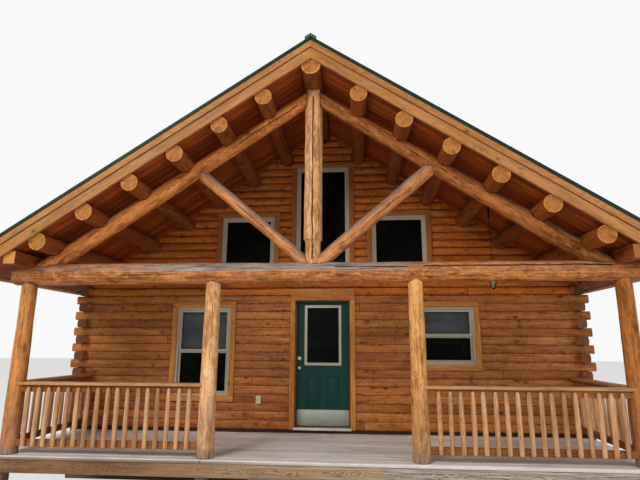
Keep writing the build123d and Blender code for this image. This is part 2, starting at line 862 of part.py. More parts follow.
# Door frame: jambs, head, stops, threshold and the fixed halves of the hinges
jamb_face_x = door_width / 2.0 + door_gap
door_back_y = front_inner_y
door_front_y = door_back_y - door_thickness
door_top = door_bottom + door_leaf_height
head_bottom = door_top + door_gap
threshold_top = door_bottom - door_gap
with BuildPart() as door_frame:
    for side in (-1, 1):
        x_from, x_to = sorted((side * jamb_face_x, side * opening_half_width))
        add_box(x_from, x_to, front_y, front_inner_y, wall_bottom, opening_top)
    add_box(-jamb_face_x, jamb_face_x, front_y, front_inner_y, head_bottom, opening_top)
    add_box(-jamb_face_x, jamb_face_x, front_y, front_inner_y, wall_bottom, threshold_top)
    stop_back = door_front_y - door_gap
    for side in (-1, 1):
        x_from, x_to = sorted((side * jamb_face_x, side * (jamb_face_x - stop_thickness)))
        add_box(x_from, x_to, stop_back - stop_depth, stop_back, threshold_top, head_bottom)
    add_box(
        -jamb_face_x,
        jamb_face_x,
        stop_back - stop_depth,
        stop_back,
        head_bottom - stop_thickness,
        head_bottom,
    )
    for height in hinge_heights:
        base = door_bottom + height
        with Locations((hinge_x, hinge_y, base + hinge_length / 2.0)):
            Cylinder(hinge_pin_radius, hinge_length)
        knuckle = (hinge_length - hinge_knuckle) / 2.0
        for bottom in (base, base + hinge_length - knuckle):
            with Locations((hinge_x, hinge_y, bottom + knuckle / 2.0)):
                Cylinder(hinge_barrel_radius, knuckle)
            add_box(
                hinge_x,
                opening_half_width,
                front_inner_y,
                front_inner_y + hinge_plate,
                bottom,
                bottom + knuckle,
            )
save(door_frame, "door_frame")

# Casing boards round the doorway on the porch side
casing_back_y = front_y - fit_gap
casing_front_y = casing_back_y - casing_thickness
with BuildPart() as door_casing:
    casing_top = head_bottom + door_casing_height
    for side in (-1, 1):
        x_from, x_to = sorted((side * jamb_face_x, side * (jamb_face_x + door_casing_width)))
        add_box(x_from, x_to, casing_front_y, casing_back_y, wall_bottom, head_bottom)
    half = jamb_face_x + door_casing_width
    add_box(-half, half, casing_front_y, casing_back_y, head_bottom, casing_top)
save(door_casing, "door_casing")

# Metal nosing of the door sill, passing in front of the casings' feet
nose_front_y = front_y - sill_nose_depth
nose_low = deck_height + sill_nose_bottom
nose_high = deck_height + sill_nose_top
with BuildPart() as door_threshold:
    nose_back_y = casing_front_y - fit_gap
    add_box(-sill_nose_half_width, sill_nose_half_width, nose_front_y, nose_back_y, nose_low, nose_high)
    inner_nose = jamb_face_x - fit_gap
    add_box(-inner_nose, inner_nose, nose_front_y, front_y, nose_low, nose_high)
save(door_threshold, "door_threshold")

# Outlet cover on the front wall
with BuildPart() as outlet_cover:
    add_box(
        outlet_x - outlet_width / 2.0,
        outlet_x + outlet_width / 2.0,
        casing_back_y - outlet_depth,
        casing_back_y,
        deck_height + outlet_bottom,
        deck_height + outlet_bottom + outlet_height,
    )
save(outlet_cover, "outlet_cover")

# Door leaf with its glass opening, two sunk panels and its halves of the hinges
lite_z = deck_height + lite_bottom
with BuildPart() as front_door:
    add_box(-door_width / 2.0, door_width / 2.0, door_front_y, door_back_y, door_bottom, door_top)
    inner_width = lite_width - 2.0 * lite_frame_width
    inner_height = lite_height - 2.0 * lite_frame_width
    cut_box(inner_width, 3.0 * door_thickness, inner_height, 0, door_front_y, lite_z + lite_frame_width)
    for x in (-panel_offset_x, panel_offset_x):
        for y in (door_front_y, door_back_y):
            cut_box(panel_width, 2.0 * panel_depth, panel_height, x, y, deck_height + panel_bottom)
    for height in hinge_heights:
        base = door_bottom + height + (hinge_length - hinge_knuckle) / 2.0 + fit_gap
        knuckle = hinge_knuckle - 2.0 * fit_gap
        with Locations((hinge_x, hinge_y, base + knuckle / 2.0)):
            Cylinder(hinge_barrel_radius, knuckle)
        plate_x = hinge_x - hinge_length / 2.0
        add_box(plate_x, hinge_x, door_back_y, door_back_y + hinge_plate, base, base + knuckle)
        with Locations((hinge_x, hinge_y, base + knuckle / 2.0)):
            Cylinder(hinge_pin_radius + fit_gap, knuckle, mode=Mode.SUBTRACT)
save(front_door, "front_door")

# Frame of the door's glass, on both faces
with BuildPart() as door_glass_frame:
    for y_from, y_to in (
        (door_front_y - lite_frame_proud, door_front_y),
        (door_back_y, door_back_y + lite_frame_proud),
    ):
        add_box(-lite_width / 2.0, lite_width / 2.0, y_from, y_to, lite_z, lite_z + lite_height)
        frame_y = (y_from + y_to) / 2.0
        cut_box(inner_width, 3.0 * lite_frame_proud, inner_height, 0, frame_y, lite_z + lite_frame_width)
save(door_glass_frame, "door_glass_frame")

# Door glass
with BuildPart() as door_glass:
    glass_middle_y = (door_front_y + door_back_y) / 2.0
    add_box(
        -inner_width / 2.0,
        inner_width / 2.0,
        glass_middle_y - glass_thickness,
        glass_middle_y + glass_thickness,
        lite_z + lite_frame_width,
        lite_z + lite_frame_width + inner_height,
    )
save(door_glass, "door_glass")

# Kick plate on the porch face of the door
with BuildPart() as kick_plate:
    kick_z = door_bottom + door_gap
    half = kick_width / 2.0
    add_box(-half, half, door_front_y - kick_thickness, door_front_y, kick_z, kick_z + kick_height)
save(kick_plate, "kick_plate")

# Knob on each face, and the deadbolt above it
rose_radius = 32.0
rose_depth = 8.0
neck_radius = 13.0
knob_radius = 27.0
knob_depth = 62.0
bolt_depth = 20.0


def lathe_on_door(height, outline, outward):
    """A turned fitting on a face of the door."""
    face_y = door_front_y if outward < 0 else door_back_y
    plane = Plane(origin=(knob_x, face_y, deck_height + height), x_dir=(1, 0, 0), z_dir=(0, 0, 1))
    with BuildSketch(plane) as half:
        with BuildLine():
            Polyline(*[(radius, outward * reach) for radius, reach in outline], close=True)
        make_face()
    revolve(half.sketch, axis=Axis((knob_x, 0, deck_height + height), (0, 1, 0)))


knob_outline = [
    (0, 0),
    (rose_radius, 0),
    (rose_radius, rose_depth),
    (neck_radius, rose_depth),
    (neck_radius, knob_depth / 2.0),
    (knob_radius, knob_depth * 0.65),
    (knob_radius, knob_depth * 0.85),
    (knob_radius * 0.6, knob_depth),
    (0, knob_depth),
]
bolt_outline = [(0, 0), (rose_radius, 0), (rose_radius * 0.8, bolt_depth), (0, bolt_depth)]
with BuildPart() as door_knobs:
    for facing in (-1, 1):
        lathe_on_door(knob_height, knob_outline, facing)
        lathe_on_door(bolt_height, bolt_outline, facing)
save(door_knobs, "door_knobs")


def frame_bars(place, y_wall, outward, rail):
    """One window's frame in a wall that faces along Y."""
    x, sill, height = place
    z = deck_height + sill
    y_from, y_to = sorted((y_wall + outward * frame_proud, y_wall + outward * (frame_proud - frame_depth)))
    add_box(x - window_width / 2.0, x + window_width / 2.0, y_from, y_to, z, z + height)
    pane_width = window_width - 2.0 * frame_bar
    for low, high in pane_heights(height, rail):
        cut_box(pane_width, 3.0 * frame_depth, high - low, x, y_wall, z + low)


def pane_heights(height, rail):
    """The lowest and highest point of each pane above the frame's foot."""
    if not rail:
        return [(frame_bar, height - frame_bar)]
    middle = height / 2.0
    return [(frame_bar, middle - meeting_rail / 2.0), (middle + meeting_rail / 2.0, height - frame_bar)]


def panes(place, y_wall, outward, rail):
    """One window's glass in a wall that faces along Y."""
    x, sill, height = place
    z = deck_height + sill
    pane_width = window_width - 2.0 * frame_bar
    y_face = y_wall - outward * glass_setback
    y_from, y_to = sorted((y_face, y_face - outward * glass_thickness))
    for low, high in pane_heights(height, rail):
        add_box(x - pane_width / 2.0, x + pane_width / 2.0, y_from, y_to, z + low, z + high)


def casing_boards(place, y_wall, outward):
    """One window's casing boards in a wall that faces along Y."""
    x, sill, height = place
    z = deck_height + sill
    y_from, y_to = sorted((y_wall + outward * fit_gap, y_wall + outward * (fit_gap + casing_thickness)))
    half = window_width / 2.0 + window_casing_width
    add_box(x - half, x + half, y_from, y_to, z - window_casing_width, z + height + window_casing_width)
    cut_box(window_width, 4.0 * casing_thickness, height, x, y_wall, z)


front_windows = [left_front_window, right_front_window]

with BuildPart() as front_window_frames:
    for place in front_windows:
        frame_bars(place, front_y, -1, True)
    for place in gable_windows:
        frame_bars(place, front_y, -1, False)
save(front_window_frames, "front_window_frames")

with BuildPart() as front_window_glass:
    for place in front_windows:
        panes(place, front_y, -1, True)
    for place in gable_windows:
        panes(place, front_y, -1, False)
save(front_window_glass, "front_window_glass")

with BuildPart() as front_window_casings:
    for place in front_windows + gable_windows:
        casing_boards(place, front_y, -1)
    cut_purlin_notches(front_y)
save(front_window_casings, "front_window_casings")

with BuildPart() as back_window_frames:
    for place in back_windows:
        frame_bars(place, back_y, 1, True)
    for place in gable_windows:
        frame_bars(place, back_y, 1, False)
save(back_window_frames, "back_window_frames")

with BuildPart() as back_window_glass:
    for place in back_windows:
        panes(place, back_y, 1, True)
    for place in gable_windows:
        panes(place, back_y, 1, False)
save(back_window_glass, "back_window_glass")

with BuildPart() as back_window_casings:
    for place in back_windows + gable_windows:
        casing_boards(place, back_y, 1)
    cut_purlin_notches(back_y)
save(back_window_casings, "back_window_casings")

# Side windows: the same pieces turned to face left and right
with BuildPart() as side_window_frames:
    for side in (-1, 1):
        for y, sill, height in side_windows:
            z = deck_height + sill
            x_face = side_x + frame_proud
            x_from, x_to = sorted((side * x_face, side * (x_face - frame_depth)))
            add_box(x_from, x_to, y - window_width / 2.0, y + window_width / 2.0, z, z + height)
            pane_width = window_width - 2.0 * frame_bar
            for low, high in pane_heights(height, True):
                cut_box(3.0 * frame_depth, pane_width, high - low, side * side_x, y, z + low)
save(side_window_frames, "side_window_frames")

with BuildPart() as side_window_glass:
    for side in (-1, 1):
        for y, sill, height in side_windows:
            z = deck_height + sill
            half = window_width / 2.0 - frame_bar
            x_face = side_x - glass_setback
            x_from, x_to = sorted((side * x_face, side * (x_face - glass_thickness)))
            for low, high in pane_heights(height, True):
                add_box(x_from, x_to, y - half, y + half, z + low, z + high)
save(side_window_glass, "side_window_glass")

with BuildPart() as side_window_casings:
    for side in (-1, 1):
        for y, sill, height in side_windows:
            z = deck_height + sill
            half = window_width / 2.0 + window_casing_width
            x_face = side_x + fit_gap
            x_from, x_to = sorted((side * x_face, side * (x_face + casing_thickness)))
            top = z + height + window_casing_width
            add_box(x_from, x_to, y - half, y + half, z - window_casing_width, top)
            cut_box(4.0 * casing_thickness, window_width, height, side * side_x, y, z)
save(side_window_casings, "side_window_casings")


def add_baluster(x, y):
    """One round baluster, let into the face of the rails."""
    radius = baluster_diameter / 2.0
    length = baluster_top - baluster_bottom
    with Locations((x, y, deck_height + baluster_bottom + length / 2.0)):
        Cylinder(radius, length)


def front_railing(side):
    """The railing between an outer and an inner post."""
    inner_x = side * (inner_post_x + rail_end_lap)
    outer_x = side * (outer_post_x - rail_end_lap)
    x_from, x_to = sorted((inner_x, outer_x))
    cap_front = truss_y - rail_front_face
    rail_front = cap_front + (rail_cap_width - sub_rail_thickness) / 2.0
    cap_z = deck_height + rail_cap_top - rail_cap_thickness
    low_z = deck_height + lower_rail_bottom
    with BuildPart() as railing:
        add_box(x_from, x_to, cap_front, cap_front + rail_cap_width, cap_z, cap_z + rail_cap_thickness)
        add_box(x_from, x_to, rail_front, rail_front + sub_rail_thickness, cap_z - sub_rail_height, cap_z)
        add_box(x_from, x_to, rail_front, rail_front + sub_rail_thickness, low_z, low_z + sub_rail_height)
        middle = (inner_x + outer_x) / 2.0
        for number in range(front_baluster_count):
            x = middle + (number - (front_baluster_count - 1) / 2.0) * baluster_pitch
            add_baluster(x, rail_front + baluster_let_in - baluster_diameter / 2.0)
        post_solid(side * inner_post_x, fit_gap)
        post_solid(side * outer_post_x, fit_gap)
    return railing


def side_railing(side):
    """The railing from a corner post back to the house wall."""
    y_from = truss_y + rail_end_lap
    y_to = front_y - fit_gap
    cap_out = side * (outer_post_x + rail_front_face)
    rail_out = cap_out - side * (rail_cap_width - sub_rail_thickness) / 2.0
    cap_z = deck_height + rail_cap_top - rail_cap_thickness
    low_z = deck_height + lower_rail_bottom
    with BuildPart() as railing:
        x_from, x_to = sorted((cap_out, cap_out - side * rail_cap_width))
        add_box(x_from, x_to, y_from, y_to, cap_z, cap_z + rail_cap_thickness)
        x_from, x_to = sorted((rail_out, rail_out - side * sub_rail_thickness))
        add_box(x_from, x_to, y_from, y_to, cap_z - sub_rail_height, cap_z)
        add_box(x_from, x_to, y_from, y_to, low_z, low_z + sub_rail_height)
        middle = (truss_y + post_base_diameter / 2.0 + front_y) / 2.0
        for number in range(side_baluster_count):
            y = middle + (number - (side_baluster_count - 1) / 2.0) * baluster_pitch
            add_baluster(rail_out + side * (baluster_diameter / 2.0 - baluster_let_in), y)
        post_solid(side * outer_post_x, fit_gap)
        clear_front_railing(side)
    return railing


def clear_front_railing(side):
    """Cut the side railing back where the front railing's cap passes."""
    inner_x = side * (outer_post_x - rail_end_lap)
    far_x = side * (outer_post_x - 2.0 * rail_cap_width)
    x_from, x_to = sorted((inner_x, far_x))
    cap_back = truss_y - rail_front_face + rail_cap_width + fit_gap
    cut_x = (x_from + x_to) / 2.0
    cut_y = (cap_back + truss_y) / 2.0
    cut_box(x_to - x_from, cap_back - truss_y, rail_cap_top + deck_height, cut_x, cut_y, 0)


save(front_railing(-1), "left_front_railing")
save(front_railing(1), "right_front_railing")
save(side_railing(-1), "left_side_railing")
save(side_railing(1), "right_side_railing")

# Porch lantern hanging from the roof boards
lantern_world_y = truss_y + lantern_y
with BuildPart() as porch_lantern:
    top = soffit_z(lantern_x - lantern_mount_diameter)
    hang = deck_height + lantern_top
    base = deck_height + lantern_bottom
    with Locations((lantern_x, lantern_world_y, top - lantern_mount_length / 2.0)):
        Cylinder(lantern_mount_diameter / 2.0, lantern_mount_length)
    with Locations((lantern_x, lantern_world_y, (top + hang) / 2.0)):
        Cylinder(lantern_stem_diameter / 2.0, top - hang)
    trim_to_roof((1,))
    body = hang - base
    outline = [
        (0, hang),
        (lantern_radius * 0.3, hang),
        (lantern_radius * 0.3, hang - body * 0.08),
        (lantern_radius * 1.1, hang - body * 0.3),
        (lantern_radius * 1.1, hang - body * 0.34),
        (lantern_radius, hang - body * 0.34),
        (lantern_radius * 0.34, base + body * 0.1),
        (lantern_radius * 0.34, base + body * 0.06),
        (lantern_radius * 0.1, base),
        (0, base),
    ]
    with BuildSketch(Plane(origin=(lantern_x, lantern_world_y, 0), x_dir=(1, 0, 0), z_dir=(0, -1, 0))):
        with BuildLine():
            Polyline(*outline, close=True)
        make_face()
    revolve(axis=Axis((lantern_x, lantern_world_y, 0), (0, 0, 1)))
save(porch_lantern, "porch_lantern")
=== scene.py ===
import math
import random
from contextlib import contextmanager

import bpy
from mathutils import Matrix, Vector


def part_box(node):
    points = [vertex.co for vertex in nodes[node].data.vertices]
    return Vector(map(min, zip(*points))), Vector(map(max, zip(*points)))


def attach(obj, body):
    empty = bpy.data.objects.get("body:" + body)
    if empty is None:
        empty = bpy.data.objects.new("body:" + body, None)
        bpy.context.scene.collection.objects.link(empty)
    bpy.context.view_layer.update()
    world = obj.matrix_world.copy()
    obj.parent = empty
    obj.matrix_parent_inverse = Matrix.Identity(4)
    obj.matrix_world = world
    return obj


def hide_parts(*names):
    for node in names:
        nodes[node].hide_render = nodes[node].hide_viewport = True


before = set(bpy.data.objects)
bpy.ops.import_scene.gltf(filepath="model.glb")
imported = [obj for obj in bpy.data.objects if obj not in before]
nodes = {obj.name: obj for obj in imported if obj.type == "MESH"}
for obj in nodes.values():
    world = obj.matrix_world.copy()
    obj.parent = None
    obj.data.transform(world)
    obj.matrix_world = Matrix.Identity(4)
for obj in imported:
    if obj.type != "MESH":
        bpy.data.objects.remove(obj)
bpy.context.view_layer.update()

random.seed(7)

# Places on the cabin, in metres, read from the frame
tie_low, tie_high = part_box("tie_beam")
deck_low, deck_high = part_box("porch_deck")
lantern_low, lantern_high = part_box("porch_lantern")
DECK = deck_high.z
DECK_HALF = deck_high.x
WALL_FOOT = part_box("front_wall_left")[0].z
TRUSS_Y = (tie_low.y + tie_high.y) / 2
FRONT_Y = deck_high.y
BACK_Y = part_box("back_wall")[1].y
SIDE_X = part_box("right_wall")[1].x
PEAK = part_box("ridge_wedge")[1].z
ROOF_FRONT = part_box("right_roof_deck")[0].y
DOOR_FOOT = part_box("front_door")[0].z

# Sizes that the frame's boxes don't give, in metres
HAIR = 0.0003
SLOPE = 8.0 / 12.0
SLOPE_LENGTH = math.sqrt(1.0 + SLOPE * SLOPE)
COURSE = 0.135
TIE_Z = DECK + 2.336
RAFTER_DROP = 0.2886
PURLIN_RADIUS = 0.114
PURLIN_FIRST = 0.64
PURLIN_STEP = 0.587
PURLIN_COUNT = 6
PURLIN_DROP = (PURLIN_RADIUS - 0.006) * SLOPE_LENGTH
RIDGE_Z = PEAK - 0.115
STRUT_FOOT = DECK + 2.39
STRUT_HEAD = 1.665
INNER_POST = 1.35
OUTER_POST = 3.96
WINDOW_WIDTH = 0.928
CASING = 0.09
DOOR_HALF = 0.457
DOOR_FRONT = FRONT_Y + 0.106
DOOR_BACK = FRONT_Y + 0.15
BOARD_WIDTH = 0.14
BLOCK_HEIGHT = 0.2
BLOCK_LENGTH = 0.4
RIB_STEP = 0.305


# Modelling

UPRIGHT = (math.pi / 2, 0, 0)
SAME_PLACE = 0.00002
PEELING_DEPTH = 0.004


def deselect():
    bpy.ops.object.select_all(action="DESELECT")


def use(piece):
    deselect()
    piece.select_set(True)
    bpy.context.view_layer.objects.active = piece
    return piece


@contextmanager
def editing(piece):
    """Edit mode on one piece, with all of it selected."""
    use(piece)
    bpy.ops.object.mode_set(mode="EDIT")
    bpy.ops.mesh.select_all(action="SELECT")
    yield
    bpy.ops.object.mode_set(mode="OBJECT")


def primitive(add, scale=(1, 1, 1), **settings):
    """A mesh from one of Blender's own shapes, with its place, turn and scale moved into the mesh."""
    deselect()
    add(**settings)
    piece = bpy.context.object
    piece.scale = scale
    bpy.ops.object.transform_apply(location=True, rotation=True, scale=True)
    return piece


def shaped(piece, kind, **settings):
    """Apply one modifier to a piece."""
    use(piece)
    modifier = piece.modifiers.new(kind.lower(), kind)
    for key, value in settings.items():
        setattr(modifier, key, value)
    bpy.ops.object.modifier_apply(modifier=modifier.name)
    return piece


def smooth(piece, angle=0.6):
    use(piece)
    bpy.ops.object.shade_smooth_by_angle(angle=angle)
    return piece


def copy_of(piece, matrix=None):
    """A copy with its own mesh, moved by a matrix."""
    mesh = piece.data.copy()
    mesh.transform(matrix or Matrix())
    made = bpy.data.objects.new(piece.name, mesh)
    bpy.context.scene.collection.objects.link(made)
    return made


def discard(*pieces):
    for piece in pieces:
        bpy.data.objects.remove(piece)


def join(pieces):
    deselect()
    for piece in pieces:
        piece.select_set(True)
    bpy.context.view_layer.objects.active = pieces[0]
    bpy.ops.object.join()
    return pieces[0]


def marked(piece):
    """Give a board its own number, which its finish reads for its tone and grain."""
    mesh = piece.data
    mark = mesh.attributes.get("lot") or mesh.attributes.new("lot", "FLOAT", "POINT")
    mark.data.foreach_set("value", [random.uniform(0, 60)] * len(mesh.vertices))
    return piece


def board(low, high, ease):
    """A sawn board between two corners, with its edges eased."""
    low, high = Vector(low), Vector(high)
    piece = primitive(bpy.ops.mesh.primitive_cube_add, high - low, size=1, location=(low + high) / 2)
    with editing(piece):
        bpy.ops.mesh.bevel(offset=ease, segments=2, affect="EDGES")
    return marked(piece)


def turned(rings, sides=24):
    """A round piece on the Z axis, from its (height, radius) rings."""
    height, radius = rings[0]
    piece = primitive(bpy.ops.mesh.primitive_circle_add, vertices=sides, radius=radius, fill_type="NGON",
                      location=(0, 0, height))
    with editing(piece):
        for next_height, next_radius in rings[1:]:
            rise = (0, 0, next_height - height)
            bpy.ops.mesh.extrude_region_move(TRANSFORM_OT_translate={"value": rise})
            share = next_radius / radius
            bpy.ops.transform.resize(value=(share, share, 1))
            height, radius = next_height, next_radius
        bpy.ops.mesh.select_all(action="SELECT")
        bpy.ops.mesh.normals_make_consistent(inside=False)
    return marked(piece)


def stand(piece, start, direction):
    """Move a piece from the origin to a start, with its Z axis along a direction."""
    turn = Vector(direction).to_track_quat("Z", "Y").to_matrix().to_4x4()
    piece.data.transform(Matrix.Translation(start) @ turn)
    return piece


def frame_ring(width, height, bar, front, back, foot=0.0, ease=0.003):
    """A rectangular frame facing the front, with its middle at x = 0."""
    piece = primitive(bpy.ops.mesh.primitive_plane_add, (width, height, 1), size=1,
                      location=(0, back, foot + height / 2), rotation=UPRIGHT)
    with editing(piece):
        bpy.ops.mesh.inset(thickness=bar)
        bpy.ops.mesh.delete(type="FACE")
    shaped(piece, "SOLIDIFY", thickness=back - front, offset=1.0)
    shaped(piece, "BEVEL", width=ease, segments=2)
    return marked(piece)


def eased_copy(node, ease):
    """A copy of a CAD node with its triangles joined up into faces, and its sharp edges worn round."""
    piece = copy_of(nodes[node])
    with editing(piece):
        bpy.ops.mesh.remove_doubles(threshold=SAME_PLACE)
        bpy.ops.mesh.dissolve_limited(angle_limit=0.02)
    return shaped(piece, "BEVEL", width=ease, segments=2, limit_method="ANGLE", angle_limit=0.9)


def clouds(name, size, depth):
    made = bpy.data.textures.new(name, "CLOUDS")
    made.noise_scale = size
    made.noise_depth = depth
    return made


swells = clouds("log_swells", 0.5, 1)
peelings = clouds("peeling_marks", 0.08, 2)


def hewn_copy(node, voxel, swell=0.014, girth=0.0):
    """A CAD log with an even mesh, swells and the marks of peeling. Girth fills it out."""
    piece = copy_of(nodes[node])
    with editing(piece):
        bpy.ops.mesh.remove_doubles(threshold=SAME_PLACE)
    shaped(piece, "REMESH", mode="VOXEL", voxel_size=voxel)
    if girth:
        shaped(piece, "DISPLACE", strength=girth, mid_level=0.0)
    for texture, strength in ((swells, swell), (peelings, PEELING_DEPTH)):
        shaped(piece, "DISPLACE", texture=texture, texture_coords="LOCAL", strength=strength, mid_level=0.6)
    use(piece)
    bpy.ops.object.shade_smooth()
    return piece


def dress(piece, finish):
    piece.data.materials.clear()
    piece.data.materials.append(finish.material)


def keep(piece, name, finish, slot, *replaced, body="house"):
    """Name a finished piece, dress it, parent it to the body it rides on, and hide the nodes it stands for.
    """
    piece.name = name
    piece.data.name = name
    dress(piece, finish)
    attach(piece, body)
    if replaced:
        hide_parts(*replaced)


# Shader sums

def sum_of(operation, swapped=False):
    """A method that makes a maths node of a value and what it is given."""
    def method(value, *others):
        terms = (value, *others)
        return value.maths(operation, *(terms[::-1] if swapped else terms))
    return method


class Value:
    """An output of a node, which can be used in sums."""

    def __init__(self, owner, socket):
        self.owner = owner
        self.socket = socket

    def maths(self, operation, *values):
        return self.owner.node("ShaderNodeMath", {"operation": operation}, dict(enumerate(values)))

    def other(self, name):
        return Value(self.owner, self.socket.node.outputs[name])

    def from_whole(self):
        """How far it is from the nearest whole number."""
        return abs(self - self.rounded())

    floor = sum_of("FLOOR")
    rounded = sum_of("ROUND")
    sine = sum_of("SINE")
    root = sum_of("SQRT")
    least = sum_of("MINIMUM")
    most = sum_of("MAXIMUM")
    __add__ = sum_of("ADD")
    __radd__ = sum_of("ADD", True)
    __sub__ = sum_of("SUBTRACT")
    __rsub__ = sum_of("SUBTRACT", True)
    __mul__ = sum_of("MULTIPLY")
    __rmul__ = sum_of("MULTIPLY", True)
    __truediv__ = sum_of("DIVIDE")
    __lt__ = sum_of("LESS_THAN")
    __gt__ = sum_of("GREATER_THAN")
    __abs__ = sum_of("ABSOLUTE")


class Nodes:
    """A node tree, and short ways to add to it."""

    def __init__(self, owner):
        owner.use_nodes = True
        self.tree = owner.node_tree
        self.tree.nodes.clear()

    def node(self, kind, settings=None, inputs=None, out=0):
        made = self.tree.nodes.new(kind)
        for key, value in (settings or {}).items():
            if key == "stops":
                while len(made.color_ramp.elements) < len(value):
                    made.color_ramp.elements.new(0.5)
                for element, (position, colour) in zip(made.color_ramp.elements, value):
                    element.position = position
                    element.color = (*colour, 1.0)
            else:
                setattr(made, key, value)
        for key, value in (inputs or {}).items():
            if isinstance(value, Value):
                self.tree.links.new(value.socket, made.inputs[key])
            else:
                made.inputs[key].default_value = value
        return Value(self, made.outputs[out])

    def end(self, kind, socket):
        """Link a shader to a new output of the tree."""
        self.tree.links.new(socket, self.tree.nodes.new(kind).inputs[0])

    def seen(self):
        """1 on rays that are seen, also through glass or on a shiny face, and 0 on those that bring light."""
        ray = self.node("ShaderNodeLightPath", out="Is Camera Ray")
        return ray.most(ray.other("Is Transmission Ray")).most(ray.other("Is Glossy Ray"))


class Finish(Nodes):
    """A finish: one shader, the nodes that feed it, and its colour so far."""

    def __init__(self, name, roughness=0.6, metallic=0.0, **fixed):
        self.material = bpy.data.materials.new(name)
        super().__init__(self.material)
        self.shader = self.tree.nodes.new("ShaderNodeBsdfPrincipled")
        self.end("ShaderNodeOutputMaterial", self.shader.outputs[0])
        for socket, value in dict(fixed, Roughness=roughness, Metallic=metallic).items():
            self.shader.inputs[socket.replace("_", " ")].default_value = value
        self.place = self.node("ShaderNodeTexCoord", out="Object")
        self.x, self.y, self.z = self.axes(self.place)

    def feed(self, **links):
        for socket, value in links.items():
            self.tree.links.new(value.socket, self.shader.inputs[socket.replace("_", " ")])
        return self

    def axes(self, vector):
        split = self.node("ShaderNodeSeparateXYZ", None, {0: vector})
        return split, split.other("Y"), split.other("Z")

    def vector(self, x, y, z):
        return self.node("ShaderNodeCombineXYZ", None, {0: x, 1: y, 2: z})

    def noise(self, vector, scale=1.0, detail=2.0, roughness=0.5, distortion=0.0):
        return self.node("ShaderNodeTexNoise", None, {
            "Vector": vector, "Scale": scale, "Detail": detail,
            "Roughness": roughness, "Distortion": distortion})

    def grain(self, x, y, z, detail=2.0, roughness=0.5, distortion=0.0):
        """Noise over three axes, each with a stretch of its own."""
        return self.noise(self.vector(x, y, z), 1.0, detail, roughness, distortion)

    def cells(self, vector, scale):
        return self.node("ShaderNodeTexVoronoi", None, {"Vector": vector, "Scale": scale})

    def chance(self, number):
        return self.node("ShaderNodeTexWhiteNoise", {"noise_dimensions": "1D"}, {"W": number})

    def lot(self):
        """The number that a board was marked with."""
        return self.node("ShaderNodeAttribute", {"attribute_name": "lot"}, out="Fac")

    def step(self, value, low, high, to_low=0.0, to_high=1.0):
        return self.node("ShaderNodeMapRange", {"interpolation_type": "SMOOTHSTEP"}, {
            0: value, 1: low, 2: high, 3: to_low, 4: to_high})

    def ramp(self, value, *stops):
        return self.node("ShaderNodeValToRGB", {"stops": stops}, {0: value})

    def blend(self, factor, first, second):
        first, second = [c if isinstance(c, Value) else (*c, 1.0) for c in (first, second)]
        return self.node("ShaderNodeMix", {"data_type": "RGBA"}, {0: factor, 6: first, 7: second}, out=2)

    def tint(self, mask, colour):
        """Blend a colour over the finish's own, as far as the mask says."""
        self.colour = self.blend(mask, self.colour, colour)

    def relief(self, height, distance):
        bump = self.node("ShaderNodeBump", None, {"Height": height, "Distance": distance, "Strength": 1.0})
        return self.feed(Normal=bump)

    def finished(self, height, broad, distance, gloss=(0.42, 0.62), top=0.8):
        """Feed the shader its colour and relief, and a roughness that goes with the broad tone."""
        self.feed(Base_Color=self.colour, Roughness=self.step(broad, 0.3, top, *gloss))
        return self.relief(height, distance)

    def upness(self, direction=(0, 0, 1)):
        """How squarely the surface faces a direction, from -1 to 1."""
        normal = self.node("ShaderNodeTexCoord", out="Normal")
        return self.node("ShaderNodeVectorMath", {"operation": "DOT_PRODUCT"}, {0: normal, 1: direction},
                         out="Value")

    def facing(self, direction):
        """How squarely the surface faces along a direction, either way, from 0 to 1."""
        return abs(self.upness(direction))


def rgb(*parts):
    """A colour as seen on a screen, 0 to 255, as shader numbers."""
    return tuple(c / 255 / 12.92 if c < 11 else ((c / 255 + 0.055) / 1.055) ** 2.4 for c in parts)


def shade(colour, share):
    return tuple(min(1.0, c * share) for c in colour)


def between(first, second):
    return tuple((p + q) / 2 for p, q in zip(first, second))


# Wood

def wooden(name):
    """A finish with the low sheen of stained wood."""
    return Finish(name, Specular_IOR_Level=0.12)


def timber(f, a, b, w, light, dark, seed=0.0, knot_size=0.1, knot_share=0.5, crack=0.5, mottle=0.0,
           knot_scale=4.2, figure=0.0, spread=0.18):
    """Colour a stick, with w along it: grain, knots and checks. Gives its relief and its broad tone."""
    w = w + seed
    fibre = f.grain(a * 46, b * 46, w * 2.2, 4.0, 0.62)
    broad = f.grain(a * 6, b * 6, w * 1.1, distortion=0.6)
    cell = f.cells(f.vector(a, b, w * 0.75), knot_scale)
    here = f.chance(f.axes(cell.other("Position"))[2] * 37.0) < knot_share
    knot = f.step(cell, knot_size, knot_size * 0.6) * here
    halo = f.step(cell, knot_size * 2.6, knot_size * 0.8) * here
    tone = fibre * 0.62 + broad * 0.5 - halo * 0.13
    if mottle:
        patch = f.grain(a * 13, b * 13, w * 5.5, 3.0, 0.6, 1.2)
        tone = tone + (patch - 0.5) * mottle
    if figure:
        arcs = f.grain(a * 3.5, b * 3.5, w * 0.55, 1.0)
        tone = tone + (arcs * 190 + a * 60).sine() * figure
    f.colour = f.ramp(tone, (0.54 - spread, dark), (0.54, between(light, dark)), (0.54 + spread, light))
    f.tint(knot * 0.8, shade(dark, 0.33))
    split = abs(f.grain(a * 7 + 9, b * 7, w * 0.33) - 0.5)
    check = f.step(split, 0.011, 0.003) * f.step(broad, 0.52, 0.6) * crack
    f.tint(check, shade(dark, 0.1))
    height = fibre * 0.35 + knot * 0.5 - check * 2.5 + broad * 0.4
    return height, broad


END_LIGHT = rgb(206, 140, 70)
END_DARK = rgb(142, 84, 34)


